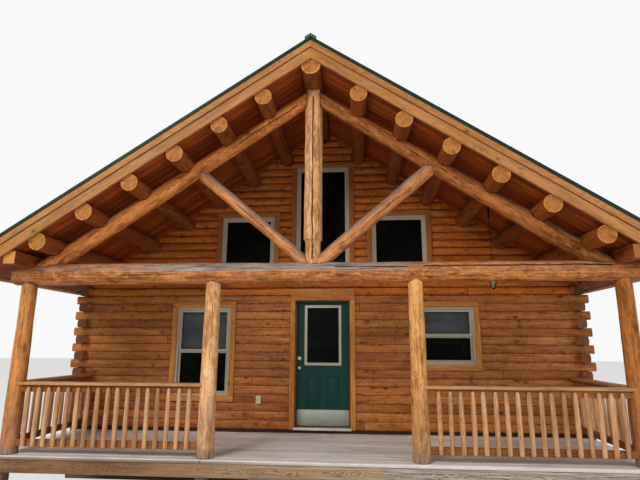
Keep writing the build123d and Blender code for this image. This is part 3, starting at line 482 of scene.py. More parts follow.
def end_grain(f, a, b, seed, light=END_LIGHT, dark=END_DARK):
    """The sawn end of a log: rings, a few radial checks and a pale rim. Gives its colour and relief."""
    reach = (a * a + b * b).root()
    wobble = f.grain(a * 8, b * 8, seed)
    rings = (reach * 600 + wobble * 14).sine() * 0.5 + 0.5
    way = f.vector(a / (reach + 0.001), b / (reach + 0.001), seed)
    split = abs(f.noise(way, 1.1, 1.0) - 0.5)
    check = f.step(split / (reach * 14 + 0.15), 0.018, 0.004) * f.step(reach, 0.01, 0.03)
    cloud = f.grain(a * 16, b * 16, seed + 5, 3.0, 0.6)
    tone = rings * 0.14 + cloud * 0.5 + wobble * 0.3
    face = f.ramp(tone, (0.28, dark), (0.5, between(light, dark)), (0.72, light))
    face = f.blend(f.step(reach, 0.1, 0.11) * 0.6, face, shade(light, 1.2))
    return f.blend(check * 0.5, face, shade(dark, 0.3)), rings * 0.2 - check


def with_ends(f, run, height, broad, ends, square=(0.9, 0.97), gloss=(0.42, 0.62), distance=0.003):
    """Finish a log, with its sawn ends on the faces that are square to its run."""
    face, face_height = ends
    sawn = f.step(f.facing(run), *square)
    f.tint(sawn, face)
    return f.finished(height * (1 - sawn) + face_height * sawn, broad, distance, gloss)


def peeled_log(name, origin, direction, light, dark, seed, cracks=(), overlay=None, check=0.3, flecks=0.61):
    """A peeled and stained round log. Each crack has its place across, start, end and half width."""
    f = wooden(name)
    run = Vector(direction).normalized()
    start = Vector(origin)
    over = Vector((run.z, 0, -run.x))
    a = f.x * over.x + f.z * over.z - start.dot(over)
    b = f.y - start.y
    w = f.x * run.x + f.z * run.z - start.dot(run)
    height, broad = timber(f, a, b, w, light, dark, seed, 0.12, 0.45, check, 0.5, spread=0.13)
    fleck = f.grain(a * 70, b * 70, w * 24 + seed, 3.0, 0.65)
    marks = f.step(fleck, flecks, flecks + 0.07) * f.step(broad, 0.38, 0.5)
    f.tint(marks * 0.7, shade(dark, 0.35))
    bare = f.grain(a * 24, b * 24, w * 9 - seed, 3.0, 0.6)
    f.tint(f.step(bare, 0.56, 0.68) * 0.45, shade(light, 1.25))
    if overlay:
        mask, grey = overlay(f, a, b, w)
        grain = f.grain(a * 60, b * 60, w * 3 + seed, 3.0, 0.6)
        silver = f.ramp(grain, (0.38, shade(grey, 0.4)), (0.62, shade(grey, 1.25)))
        f.tint(mask, silver)
    for place, begin, end, width in cracks:
        wander = f.grain(w * 3.2, seed, place * 9, 4.0, 0.65) - 0.5
        gap = abs(a - place - wander * 0.055)
        line = f.step(gap, width, width * 0.4) * (w > begin) * (w < end) * (b < 0.0)
        f.tint(line * 0.95, shade(dark, 0.06))
        height = height - line * 3.0
    return with_ends(f, run, height, broad, end_grain(f, a, b, seed), (0.88, 0.96))


def purlin_finish(name, light, dark):
    """The purlins on one side share a node, so each finds its own middle. The ridge log is at x = 0."""
    f = wooden(name)
    out = abs(f.x)
    side = f.x > 0
    number = ((out - PURLIN_FIRST) / PURLIN_STEP).rounded().least(PURLIN_COUNT - 1)
    on_ridge = out < PURLIN_FIRST / 2
    middle = (number * PURLIN_STEP + PURLIN_FIRST) * (1 - on_ridge)
    a = f.x * on_ridge + (out - middle) * (1 - on_ridge)
    b = f.z - (PEAK - PURLIN_DROP - middle * SLOPE) * (1 - on_ridge) - on_ridge * RIDGE_Z
    seed = number * 3.7 + side * 19.3
    height, broad = timber(f, a, b, f.y, light, dark, seed, 0.13, 0.5, 0.6, 0.3)
    return with_ends(f, (0, 1, 0), height, broad, end_grain(f, a, b, seed))


def log_wall(name, along_x, light, dark, wall, seam=0.445, depth=0.92):
    """Stacked logs: each course has a grain and a tone of its own, dark seams, and a butt joint."""
    f = wooden(name)
    rise = (f.z - WALL_FOOT) / COURSE
    course = rise.floor()
    part = rise - course
    across, run = (f.y, f.x) if along_x else (f.x, f.y)
    seed = course * 5.3 + wall
    joint = (f.chance(seed + 0.7) - 0.5) * 6.0
    beyond = run > joint
    stick = seed + beyond * 2.9
    height, broad = timber(f, across * 0.7, (part - 0.5) * COURSE, run, light, dark, stick, 0.17, 0.36, 0.5,
                           0.45, 8.5)
    tone = f.chance(stick)
    f.tint(f.step(tone, 0.45, 1.0) * 0.4, dark)
    f.tint(f.step(tone, 0.5, 0.0) * 0.3, light)
    streak = f.grain(across, part * 6, run * 0.9 + stick, 3.0, 0.6)
    f.tint(f.step(streak, 0.52, 0.68) * 0.35, rgb(150, 70, 34))
    edge = abs(part - 0.5)
    fleck = f.grain(across * 30, part * 4.5 + run * 6, run * 26 + stick)
    flecks = f.step(fleck, 0.6, 0.66) * f.step(edge, 0.1, 0.4)
    f.tint(flecks * 0.7, shade(dark, 0.25))
    # Painted shade: the lower third of each course is darkened where its rounded face turns down.
    painted_under_shade = f.step(part, 0.34, 0.0) * 0.2
    f.tint(painted_under_shade, shade(dark, 0.6))
    groove = f.step(edge, seam, 0.49)
    f.tint(groove * depth, shade(dark, 0.18))
    butt = f.step(abs(run - joint), 0.004, 0.002)
    f.tint(butt * 0.85, shade(dark, 0.12))
    corner = (BACK_Y if along_x else SIDE_X) - 0.07
    ends = end_grain(f, (part - 0.5) * COURSE, across - corner, seed, rgb(150, 96, 54), rgb(84, 48, 26))
    way = (1, 0, 0) if along_x else (0, 1, 0)
    return with_ends(f, way, height - butt * 2, broad, ends, gloss=(0.38, 0.6), distance=0.0025)


def board_finish(name, run, light, dark, number=None, grime=0.0, knots=0.35, seams=None, overlay=None):
    """Sawn boards: grain along one axis, and for each board a tone and a grain of its own."""
    f = wooden(name)
    places = [f.x, f.y, f.z]
    lot = number(f) if number else f.lot()
    others = [places[k] for k in range(3) if k != run]
    height, broad = timber(f, *others, places[run], light, dark, lot * 4.1, 0.08, knots, 0.35, 0.15,
                           figure=0.04)
    odds = f.chance(lot)
    f.tint(f.step(odds, 0.45, 1.0) * 0.4, shade(dark, 0.6))
    f.tint(f.step(odds, 0.4, 0.0) * 0.24, light)
    if seams:
        line = seams(f)
        f.tint(line * 0.85, shade(dark, 0.15))
        height = height - line * 3
    if grime:
        stain = f.noise(f.place, 1.7, 4.0, 0.6)
        f.tint(f.step(stain, 0.45, 0.65) * grime, rgb(88, 80, 70))
    if overlay:
        f.tint(*overlay(f))
    return f.finished(height, broad, 0.0015, (0.47, 0.69))


# Other finishes

def painted_metal(name, colour, roughness, dust=0.25):
    f = Finish(name, roughness, Specular_IOR_Level=0.15)
    wave = f.noise(f.place, 0.9, 3.0, 0.55)
    speck = f.noise(f.place, 60.0, 2.0)
    streak = f.grain(f.x * 6, f.y * 6, f.z * 0.8, 4.0, 0.6)
    f.colour = f.ramp(wave, (0.3, shade(colour, 0.82)), (0.7, shade(colour, 1.15)))
    f.tint(f.step(speck, 0.55, 0.75) * dust, tuple(min(1, c * 1.6 + 0.03) for c in colour))
    f.tint(f.step(streak, 0.52, 0.7) * dust, tuple(c * 1.2 + 0.02 for c in colour))
    return f.finished(speck * 0.2 + wave, wave, 0.0008, (roughness - 0.06, roughness + 0.1), 0.7)


def bare_metal(name, colour, roughness, metallic=1.0):
    f = Finish(name, roughness, metallic)
    brush = f.grain(f.x * 8, f.y * 8, f.z * 240, 3.0)
    wear = f.noise(f.place, 6.0, 3.0)
    f.colour = f.ramp(wear, (0.3, shade(colour, 0.82)), (0.7, colour))
    return f.finished(brush, brush, 0.0002, (roughness - 0.08, roughness + 0.1), 0.7)


def moulded_plastic(name, colour):
    f = Finish(name, 0.5, Specular_IOR_Level=0.2)
    wave = f.noise(f.place, 3.0, 3.0)
    speck = f.noise(f.place, 300.0, 1.0)
    grime = f.grain(f.x * 5, f.y * 5, f.z * 1.2, 4.0)
    f.colour = f.blend(f.step(grime, 0.5, 0.75) * 0.3, colour, shade(colour, 0.6))
    return f.finished(speck, wave, 0.0003, (0.42, 0.6), 0.7)


def glazing(name, colour, alpha):
    """Glass with a little dust, which greys it in streaks."""
    f = Finish(name, 0.04, IOR=1.45, Specular_IOR_Level=0.04)
    streak = f.grain(f.x * 2, f.y * 2, f.z * 5, 3.0)
    f.feed(Base_Color=f.ramp(streak, (0.35, colour), (0.7, tuple(c * 1.8 + 0.003 for c in colour))),
           Roughness=f.step(streak, 0.4, 0.8, 0.03, 0.12),
           Alpha=f.step(streak, 0.35, 0.7, alpha - 0.04, alpha + 0.04))
    return f


def masonry(name):
    """Rendered blocks, darker towards the bottom."""
    f = Finish(name, 0.9)
    grit = f.noise(f.place, 90.0, 4.0, 0.7)
    cloud = f.noise(f.place, 2.2, 4.0, 0.6)
    f.colour = f.ramp(cloud, (0.3, rgb(92, 68, 50)), (0.7, rgb(138, 108, 82)))
    f.tint(f.step(f.z, 0.35, 0.0) * 0.5, rgb(70, 54, 42))
    row = f.z / BLOCK_HEIGHT
    run = (f.x + f.y) / BLOCK_LENGTH + row.floor() * 0.5
    line = f.step(row.from_whole(), 0.035, 0.02).most(f.step(run.from_whole(), 0.018, 0.01))
    f.tint(line * 0.35, rgb(60, 46, 36))
    f.feed(Base_Color=f.colour)
    return f.relief(grit * 0.6 + cloud - line * 0.6, 0.004)


def with_hinges(finish, face):
    """Turn the hinge leaves and pins behind a face to bare metal."""
    metal = finish.y > face
    finish.tint(metal, rgb(172, 150, 104))
    return finish.feed(Base_Color=finish.colour, Metallic=metal * 0.9)


def on_slope(f):
    """Places on the roof's slopes: how far down the slope, and how far above the soffit."""
    out = abs(f.x)
    down = (out + (PEAK - f.z) * SLOPE) / SLOPE_LENGTH
    above = (f.z - PEAK + out * SLOPE) / SLOPE_LENGTH
    return down, above


def rake_finish(name, light, dark):
    """Rake boards, with their grain down the slope, and a trim board of another tone."""
    f = wooden(name)
    down, above = on_slope(f)
    seed = (f.x > 0) * 7.7 + (f.y > 0) * 3.1 + (above > 0.11) * 12.9
    height, broad = timber(f, above, f.y * 0.3, down, light, dark, seed, 0.075, 0.5, 0.35, 0.25, figure=0.05)
    # Part dark joint, part painted shadow: a dark line where the trim board meets the board below it and
    # shades it.
    painted_under_shade = f.step(abs(above - 0.108), 0.006, 0.002)
    f.tint(painted_under_shade * 0.6, shade(dark, 0.25))
    return f.finished(height, broad, 0.0015)


def soffit_finish(name, light, dark):
    """Soffit boards down the slope, each with a tone of its own, and dark seams between them."""
    f = wooden(name)
    down, above = on_slope(f)
    row = (f.y - ROOF_FRONT) / BOARD_WIDTH
    number = row.floor()
    lot = number + (f.x > 0) * 43.0
    height, broad = timber(f, f.y, above, down, light, dark, lot * 3.3, 0.08, 0.45, 0.3, 0.1)
    odds = f.chance(lot)
    f.tint(f.step(odds, 0.4, 1.0) * 0.55, shade(dark, 0.6))
    seam = f.step(row.from_whole(), 0.05, 0.025)
    f.tint(seam * 0.85, shade(dark, 0.15))
    return f.finished(height - seam * 3, broad, 0.002)


def tie_grey_top(f, a, b, w):
    """The tie's upper half is grey, most of all left of its middle."""
    ragged = f.grain(w * 1.6, a * 5, 3.0, 4.0, 0.65) - 0.5
    top = f.step(a + ragged * 0.12, 0.02, -0.045)
    where = f.step(w, 1.6, 0.7, 0.2, 1.0) * f.step(w, -2.7, -1.9, 0.3, 1.0)
    return top * where * 0.9, rgb(158, 148, 138)


def post_weather(f, a, b, w):
    """A post's foot is grey and its lower half is dulled."""
    ragged = f.grain(a * 9, b * 9, w * 3, 3.0, 0.6) - 0.5
    low = f.step(w - DECK + ragged * 0.5, 1.1, 0.2) * 0.35
    foot = f.step(w - DECK + ragged * 0.15, 0.16, 0.06) * 0.5
    return low + foot, rgb(150, 122, 104)


def rafter_grey_top(f, a, b, w):
    """A rafter's top is grey towards its foot."""
    ragged = f.grain(a * 8, b * 8, w * 2, 3.0, 0.6) - 0.5
    top = f.step(f.upness() + ragged * 0.9, 0.15, 0.65)
    return top * f.step(w, 1.5, 3.6) * 0.75, rgb(134, 126, 106)


def strut_grey_top(f, a, b, w):
    """A strut's top is a purplish grey."""
    ragged = f.grain(a * 8, b * 8, w * 2, 3.0, 0.6) - 0.5
    return f.step(f.upness() + ragged, 0.0, 0.5) * 0.8, rgb(140, 120, 112)


RIM_JOINT = 0.86
RIM_MIDDLE = DECK - 0.1245


def rim_weather(f):
    """The rim board is brown at its left end and paler towards its joint, and the next length is grey.
    A flame figure runs down its middle."""
    grey_length = f.x > RIM_JOINT
    paler_rightward = f.step(f.x, -2.8, 0.3) * 0.75 * (1 - grey_length)
    fibre = f.grain(f.x * 2.4, f.y * 60, f.z * 60)
    tan = f.ramp(fibre, (0.36, rgb(176, 146, 112)), (0.64, rgb(222, 196, 162)))
    grey = f.ramp(fibre, (0.36, rgb(146, 134, 120)), (0.64, rgb(204, 196, 184)))
    contour = f.grain(f.x * 2.6, f.y, (f.z - RIM_MIDDLE) * 11, 1.0)
    flame = f.step((contour * 85).sine(), 0.4, 0.95) * f.step(abs(f.z - RIM_MIDDLE), 0.055, 0.02)
    tint = f.blend(flame * 0.7, f.blend(grey_length, tan, grey), rgb(96, 58, 40))
    return (paler_rightward + grey_length * 0.85).most(flame * 0.55), tint


def nosing_shade(f):
    """Painted shade: the nosing's front face is darkened to brown, most at the left."""
    face = (f.y < deck_low.y + 0.02) * f.step(f.z, DECK - 0.004, DECK - 0.016)
    return face * f.step(f.x, 0.4, -1.4, 0.15, 0.8), rgb(116, 92, 80)


def gable_darkening(f):
    """The casings in the gable are darker than those below."""
    return (f.z > DECK + 2.4) * 0.6, rgb(138, 80, 34)


WALL_STAIN = rgb(204, 132, 70), rgb(116, 64, 28)
# The sub rails are stained darker as painted shade, for the shadow of the rail caps above them.
SUB_RAIL_PAINTED_SHADE = rgb(168, 108, 56), rgb(104, 58, 26)
CASING_STAIN = rgb(220, 150, 76), rgb(146, 88, 38)
STRUT_STAIN = rgb(214, 148, 88), rgb(140, 82, 42)
front_logs = log_wall("front_wall_logs", True, *WALL_STAIN, 3.0)
gable_logs = log_wall("gable_wall_logs", True, rgb(210, 122, 46), rgb(122, 58, 14), 41.0, 0.385, 0.9)
side_logs = log_wall("side_wall_logs", False, *WALL_STAIN, 77.0)
rake_wood = rake_finish("rake_boards", rgb(194, 136, 80), rgb(140, 92, 50))
soffit_wood = soffit_finish("soffit_boards", rgb(190, 96, 38), rgb(106, 46, 14))
eave_wood = board_finish("eave_boards", 1, rgb(214, 164, 104), rgb(156, 104, 58), lambda f: (f.x > 0) * 5.0)
wedge_wood = board_finish("wedge_wood", 1, rgb(214, 170, 112), rgb(160, 112, 64), lambda f: 2.0)
deck_wood = board_finish("deck_boards", 0, rgb(252, 248, 244), rgb(210, 202, 196), grime=0.12, knots=0.2,
                         overlay=nosing_shade)
rim_wood = board_finish("deck_timber", 0, rgb(152, 110, 76), rgb(94, 62, 42),
                        lambda f: (f.x > RIM_JOINT) * 3.0 + (f.y > TRUSS_Y) * 5.0, overlay=rim_weather)
rail_wood = board_finish("rail_caps", 0, rgb(206, 158, 112), rgb(146, 98, 62), knots=0.5)
side_rail_wood = board_finish("side_rail_caps", 1, rgb(190, 140, 92), rgb(130, 84, 48), knots=0.5)
sub_rail_wood = board_finish("sub_rails", 0, *SUB_RAIL_PAINTED_SHADE, knots=0.5)
side_sub_rail_wood = board_finish("side_sub_rails", 1, *SUB_RAIL_PAINTED_SHADE, knots=0.5)
baluster_wood = board_finish("peeled_balusters", 2, rgb(228, 180, 134), rgb(150, 100, 62), knots=0.3)
upright_wood = board_finish("upright_casings", 2, *CASING_STAIN, knots=0.6, overlay=gable_darkening)
level_wood = board_finish("level_casings", 0, *CASING_STAIN, knots=0.6, overlay=gable_darkening)
side_level_wood = board_finish("side_level_casings", 1, *CASING_STAIN, knots=0.6)
jamb_wood = board_finish("door_frame_wood", 2, rgb(180, 116, 60), rgb(122, 70, 34), lambda f: (f.x > 0) * 4.0)
with_hinges(jamb_wood, DOOR_BACK + HAIR)
dark_wood = board_finish("sill_timber", 0, rgb(70, 46, 30), rgb(36, 22, 14), lambda f: (f.y > 0) * 2.0)
floor_wood = board_finish("floor_boards", 1, rgb(150, 100, 58), rgb(92, 56, 30),
                          lambda f: (f.x / BOARD_WIDTH).floor(),
                          seams=lambda f: f.step((f.x / BOARD_WIDTH).from_whole(), 0.03, 0.015))
pier_wood = board_finish("pier_timber", 2, rgb(118, 96, 76), rgb(66, 52, 40),
                         lambda f: (f.x / 1.3).rounded(), grime=0.3)
tread_wood = board_finish("step_boards", 0, rgb(170, 150, 128), rgb(104, 88, 72),
                          lambda f: (f.y / BOARD_WIDTH).floor(), grime=0.3)
roof_paint = painted_metal("green_roof_metal", rgb(10, 42, 32), 0.5, 0.06)
cap_paint = painted_metal("ridge_cap_metal", rgb(66, 84, 74), 0.4)
door_paint = with_hinges(painted_metal("green_door_paint", rgb(18, 62, 56), 0.4, 0.04), DOOR_BACK + HAIR)
lantern_paint = painted_metal("bronze_metal", rgb(22, 18, 15), 0.45, 0.03)
screw_metal = painted_metal("screw_metal", rgb(30, 66, 58), 0.35)
kick_metal = bare_metal("kick_metal", rgb(162, 172, 158), 0.45, 0.4)
sill_metal = bare_metal("sill_metal", rgb(206, 208, 206), 0.45, 0.6)
knob_metal = bare_metal("knob_metal", rgb(206, 182, 132), 0.3)
vinyl = moulded_plastic("window_vinyl", rgb(176, 168, 150))
door_vinyl = moulded_plastic("door_glass_vinyl", rgb(190, 182, 162))
outlet_plastic = moulded_plastic("outlet_plastic", rgb(206, 192, 160))
rubber = moulded_plastic("weather_strip", rgb(24, 24, 24))
blind_cloth = moulded_plastic("blind_pleats", rgb(206, 220, 226))
lantern_panel = moulded_plastic("lantern_panels", rgb(196, 184, 158))
clear_glass = glazing("front_glass", rgb(8, 12, 10), 0.42)
# The back, side and door glass is near black and nearly opaque: painted shade for the dark rooms behind it.
dark_glass = glazing("dark_glass", rgb(6, 10, 8), 0.92)
block = masonry("foundation_finish")
# The purlins and the ridge log are stained darker than the other logs: painted shade for the shadow under the
# roof.
purlin_logs = purlin_finish("purlin_logs", rgb(158, 90, 40), rgb(84, 40, 14))

BROWN = rgb(204, 130, 66)
RUSSET = rgb(122, 66, 28)
rafter_top = (0.0, TRUSS_Y, PEAK - RAFTER_DROP)
strut_foot = (0, TRUSS_Y, STRUT_FOOT)
strut_rise = PEAK - SLOPE * STRUT_HEAD - RAFTER_DROP - STRUT_FOOT
tie_log = peeled_log("tie_log", (0, TRUSS_Y, TIE_Z), (1, 0, 0), rgb(212, 140, 80), rgb(112, 62, 26), 2.0,
                     [(-0.06, 0.3, 1.25, 0.008), (-0.062, 1.45, 3.8, 0.012), (0.03, -2.6, -1.7, 0.005)],
                     tie_grey_top, 0.8, 0.565)
king_log = peeled_log("king_log", (0, TRUSS_Y, 0), (0, 0, 1), rgb(240, 186, 132), rgb(166, 106, 60), 5.0,
                      [(0.0, DECK + 2.5, DECK + 4.85, 0.01)], None, 0.8, 0.59)
# Painted light and shade: the right rafter's stain is darkened as if in shadow, and the left one's lightened
# as if lit.
right_rafter = peeled_log("right_rafter", rafter_top, (1, 0, -SLOPE), shade(BROWN, 0.85),
                          shade(RUSSET, 0.8), 8.0, [(0.03, 1.4, 2.2, 0.003)], rafter_grey_top)
left_rafter = peeled_log("left_rafter", rafter_top, (-1, 0, -SLOPE), shade(BROWN, 1.3),
                         shade(RUSSET, 1.2), 11.0, [(-0.035, 0.3, 1.3, 0.005)], rafter_grey_top)
right_brace = peeled_log("right_brace", strut_foot, (STRUT_HEAD, 0, strut_rise), *STRUT_STAIN, 14.0,
                         [(0.02, 0.5, 1.5, 0.0035)], strut_grey_top)
left_brace = peeled_log("left_brace", strut_foot, (-STRUT_HEAD, 0, strut_rise), *STRUT_STAIN, 17.0,
                        [(-0.01, 0.7, 1.4, 0.003)], strut_grey_top)

# The nodes that keep their own shape
for finish, names in (
    (block, "foundation_wall"),
    (floor_wood, "house_floor"),
    (front_logs, "front_wall_left front_wall_right back_wall"),
    (gable_logs, "front_gable_wall back_gable_wall"),
    (side_logs, "left_wall right_wall"),
    (soffit_wood, "left_roof_deck right_roof_deck"),
    (roof_paint, "left_metal_roof right_metal_roof"),
    (cap_paint, "ridge_cap"),
    (door_paint, "front_door"),
    (jamb_wood, "door_frame"),
    (clear_glass, "front_window_glass"),
    (dark_glass, "door_glass back_window_glass side_window_glass"),
    (purlin_logs, "left_purlins right_purlins"),
):
    for name in names.split():
        dress(nodes[name], finish)

# Truss and posts
for node, finish, voxel, girth in (
    ("tie_beam", tie_log, 0.016, 0.0),
    ("king_post", king_log, 0.012, 0.0),
    ("left_rafter_log", left_rafter, 0.015, 0.0),
    ("right_rafter_log", right_rafter, 0.015, 0.0),
    ("left_strut", left_brace, 0.012, 0.01),
    ("right_strut", right_brace, 0.012, 0.0),
):
    keep(hewn_copy(node, voxel, girth=girth), "hewn_" + node, finish, "peeled_log", node)
# Painted light and shade: each post's stain is lighter or darker for how it is lit, the right outer post
# darkest as in shadow and the left inner one lightest.
for name, x, light, dark in (
    ("left_outer", -OUTER_POST, rgb(218, 148, 84), rgb(150, 92, 44)),
    ("left_inner", -INNER_POST, rgb(246, 196, 140), rgb(172, 116, 68)),
    ("right_inner", INNER_POST, rgb(234, 172, 104), rgb(150, 96, 48)),
    ("right_outer", OUTER_POST, rgb(190, 118, 54), rgb(118, 66, 26)),
):
    finish = peeled_log(name + "_log", (x, TRUSS_Y, 0), (0, 0, 1), light, dark, x * 2 + 30,
                        [(0.03, DECK + 1.2, DECK + 1.9, 0.0025)], post_weather, 0.1)
    node = name + "_post"
    keep(hewn_copy(node, 0.013, 0.01), "hewn_" + node, finish, "peeled_log", node)

# Ridge and roof edges
for node, name, ease, finish, slot in (
    ("ridge_log", "ridge_log", 0.006, purlin_logs, "peeled_log"),
    ("ridge_wedge", "ridge_wedge", 0.002, wedge_wood, "soffit_boards"),
    ("front_rake_boards", "front_rake", 0.003, rake_wood, "trim_boards"),
    ("back_rake_boards", "back_rake", 0.003, rake_wood, "trim_boards"),
    ("eave_boards", "eave_boards", 0.003, eave_wood, "trim_boards"),
    ("porch_piers", "piers", 0.004, pier_wood, "deck_timber"),
    ("entry_steps", "steps", 0.004, tread_wood, "deck_timber"),
    ("deck_frame", "deck_frame", 0.003, rim_wood, "deck_timber"),
    ("sill_beam", "sill_beam", 0.003, dark_wood, "dark_timber"),
):
    keep(eased_copy(node, ease), "eased_" + name, finish, slot, node)

# Roof screws beside the ribs, in rows across the sheets
SCREW_ROWS = 7
FIRST_ROW = 0.35
ROW_STEP = 0.64
FIRST_SCREW = 0.279
METAL_RISE = 0.235 + 0.0118 * SLOPE_LENGTH
screw = turned([(0.0, 0.009), (0.002, 0.009), (0.0021, 0.005), (0.007, 0.0045)], 6)
screws = []
metal_low, metal_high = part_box("right_metal_roof")
screws_a_row = math.ceil((metal_high.y - 0.1 - metal_low.y - FIRST_SCREW) / RIB_STEP)
for row in range(SCREW_ROWS):
    out = FIRST_ROW + row * ROW_STEP
    for rib in range(screws_a_row):
        y = metal_low.y + FIRST_SCREW + rib * RIB_STEP
        for side in (-1, 1):
            up = Vector((side * SLOPE, 0, 1)).normalized()
            screws.append(stand(copy_of(screw), (side * out, y, PEAK + METAL_RISE - SLOPE * out), up))
discard(screw)
keep(smooth(join(screws)), "roof_screws", screw_metal, "roof_metal")

# Porch deck of boards, with butt joints over the joists and a rounder nosing
DECK_ROWS = 14
JOIST_GAPS = 12
RIM_INSET = 0.044
BOARD_GAP = 0.001
row_depth = (FRONT_Y - deck_low.y) / DECK_ROWS
joist_step = 2 * (DECK_HALF - RIM_INSET) / JOIST_GAPS
boards = []
for row in range(DECK_ROWS):
    near = deck_low.y + row * row_depth
    cuts = sorted(random.sample(range(3, 10), 2)) if row % 2 else [random.choice((4, 6, 8))]
    ends = [-DECK_HALF] + [RIM_INSET - DECK_HALF + cut * joist_step for cut in cuts] + [DECK_HALF]
    front_gap, back_gap, lift, ease = (0.0025, 0.0025, 0.002, 0.004) if row else (0, 0.001, 0, 0.012)
    for left, right in zip(ends, ends[1:]):
        boards.append(board((left + BOARD_GAP, near + front_gap, deck_low.z + lift),
                            (right - BOARD_GAP, near + row_depth - back_gap, DECK), ease))
keep(smooth(join(boards)), "deck_boards", deck_wood, "deck_boards", "porch_deck")


# Railings

RAIL_FACE = 0.096
RAIL_SET_BACK = 0.051
INTO_POST = 0.05
BALUSTER_STEP = 0.135
BALUSTER_FOOT = DECK + 0.104
BALUSTER_RINGS = [(0.0, 0.021), (0.018, 0.029), (0.28, 0.0315), (0.6, 0.029), (0.694, 0.0265), (0.722, 0.021),
                  (0.734, 0.011)]
# The cap, the upper rail and the lower rail: set back, depth, foot and top above the deck, and worn edge
RAILS = ((0.0, 0.14, 0.862, 0.9, 0.005), (RAIL_SET_BACK, 0.038, 0.773, 0.8618, 0.003),
         (RAIL_SET_BACK, 0.038, 0.097, 0.186, 0.003))


def baluster(x, y):
    """One peeled baluster, tapering to a point, and leaning a little."""
    girth = random.uniform(0.94, 1.04)
    piece = turned([(height, radius * girth) for height, radius in BALUSTER_RINGS], 12)
    lean = (random.uniform(-0.012, 0.012), random.uniform(-0.004, 0.004), 1.0)
    return stand(piece, (x, y, BALUSTER_FOOT), lean)


def railing(name, along_x, face, inward, start, end, middle, count, cap_wood, wood):
    """A railing between two ends, from its outer face inwards, with its balusters on that face."""
    rails, uprights = [], []
    for back, depth, foot, top, ease in RAILS:
        near = face + inward * back
        across = sorted((near, near + inward * depth))
        (x_low, x_high), (y_low, y_high) = ((start, end), across) if along_x else (across, (start, end))
        rails.append(board((x_low, y_low, DECK + foot), (x_high, y_high, DECK + top), ease))
    off = face + inward * (RAIL_SET_BACK - 0.025)
    for k in range(count):
        run = middle + (k - (count - 1) / 2) * BALUSTER_STEP
        uprights.append(baluster(run, off) if along_x else baluster(off, run))
    node = name + "_railing"
    keep(smooth(rails[0]), node + "_cap", cap_wood, "railing_wood", node)
    keep(smooth(join(rails[1:])), node + "_sub_rails", wood, "railing_wood", node)
    keep(smooth(join(uprights), 0.9), node + "_balusters", baluster_wood, "railing_wood", node)


for side, name in ((-1, "left"), (1, "right")):
    start, end = sorted((side * (INNER_POST + INTO_POST), side * (OUTER_POST - INTO_POST)))
    railing(name + "_front", True, TRUSS_Y - RAIL_FACE, 1, start, end, side * (INNER_POST + OUTER_POST) / 2,
            17, rail_wood, sub_rail_wood)
    railing(name + "_side", False, side * (OUTER_POST + RAIL_FACE), -side, TRUSS_Y + 0.06, FRONT_Y - HAIR,
            (TRUSS_Y + 0.114 + FRONT_Y) / 2, 12, side_rail_wood, side_sub_rail_wood)


# Windows

PLEAT = 0.022


def window_frame(height, sashes):
    """A window's frame and sashes at the origin, facing the front, with its foot at z = 0."""
    parts = [frame_ring(WINDOW_WIDTH, height, 0.034, -0.008, 0.07)]
    if sashes:
        half = height / 2
        for front, back, foot in ((0.012, 0.036, half - 0.012), (0.036, 0.062, 0.03)):
            parts.append(frame_ring(WINDOW_WIDTH - 0.06, half - 0.024, 0.042, front, back, foot))
        parts.append(board((-0.36, 0.004, 0.034), (0.36, 0.03, 0.05), 0.002))
        parts.append(board((-0.05, 0.024, half + 0.002), (0.05, 0.037, half + 0.012), 0.002))
    else:
        parts.append(frame_ring(WINDOW_WIDTH - 0.064, height - 0.064, 0.04, 0.01, 0.06, 0.032))
    return join(parts)


def blind(width, low, high, bar):
    """A pleated blind behind the glass, with a bar at its foot."""
    drop = high - low - bar
    piece = primitive(bpy.ops.mesh.primitive_grid_add, (width, drop, 1), size=1, x_subdivisions=1,
                      y_subdivisions=max(2, round(drop / PLEAT)), location=(0, 0.068, (low + bar + high) / 2),
                      rotation=UPRIGHT)
    folded = sorted({round(vertex.co.z, 4) for vertex in piece.data.vertices})[1::2]
    with editing(piece):
        bpy.ops.mesh.select_mode(type="VERT")
        bpy.ops.mesh.select_all(action="DESELECT")
    for vertex in piece.data.vertices:
        vertex.select = round(vertex.co.z, 4) in folded
    bpy.ops.object.mode_set(mode="EDIT")
    bpy.ops.transform.translate(value=(0, 0.009, 0))
    bpy.ops.object.mode_set(mode="OBJECT")
    shaped(piece, "SOLIDIFY", thickness=0.001)
    marked(piece)
    if bar:
        piece = join([piece, board((-width / 2, 0.062, low), (width / 2, 0.078, low + bar), 0.003)])
    return piece


def casing(height, spot, uprights, levels):
    """Casing boards round one window: two uprights between a head and a sill board."""
    half = WINDOW_WIDTH / 2
    for left, right, foot, top, group in (
        (-half - CASING, -half, 0.0, height, uprights),
        (half, half + CASING, 0.0, height, uprights),
        (-half - CASING, half + CASING, height + 0.0005, height + CASING, levels),
        (-half - CASING, half + CASING, -CASING, -0.0005, levels),
    ):
        piece = board((left, -0.0243, foot), (right, -HAIR, top), 0.003)
        piece.data.transform(spot)
        group.append(piece)


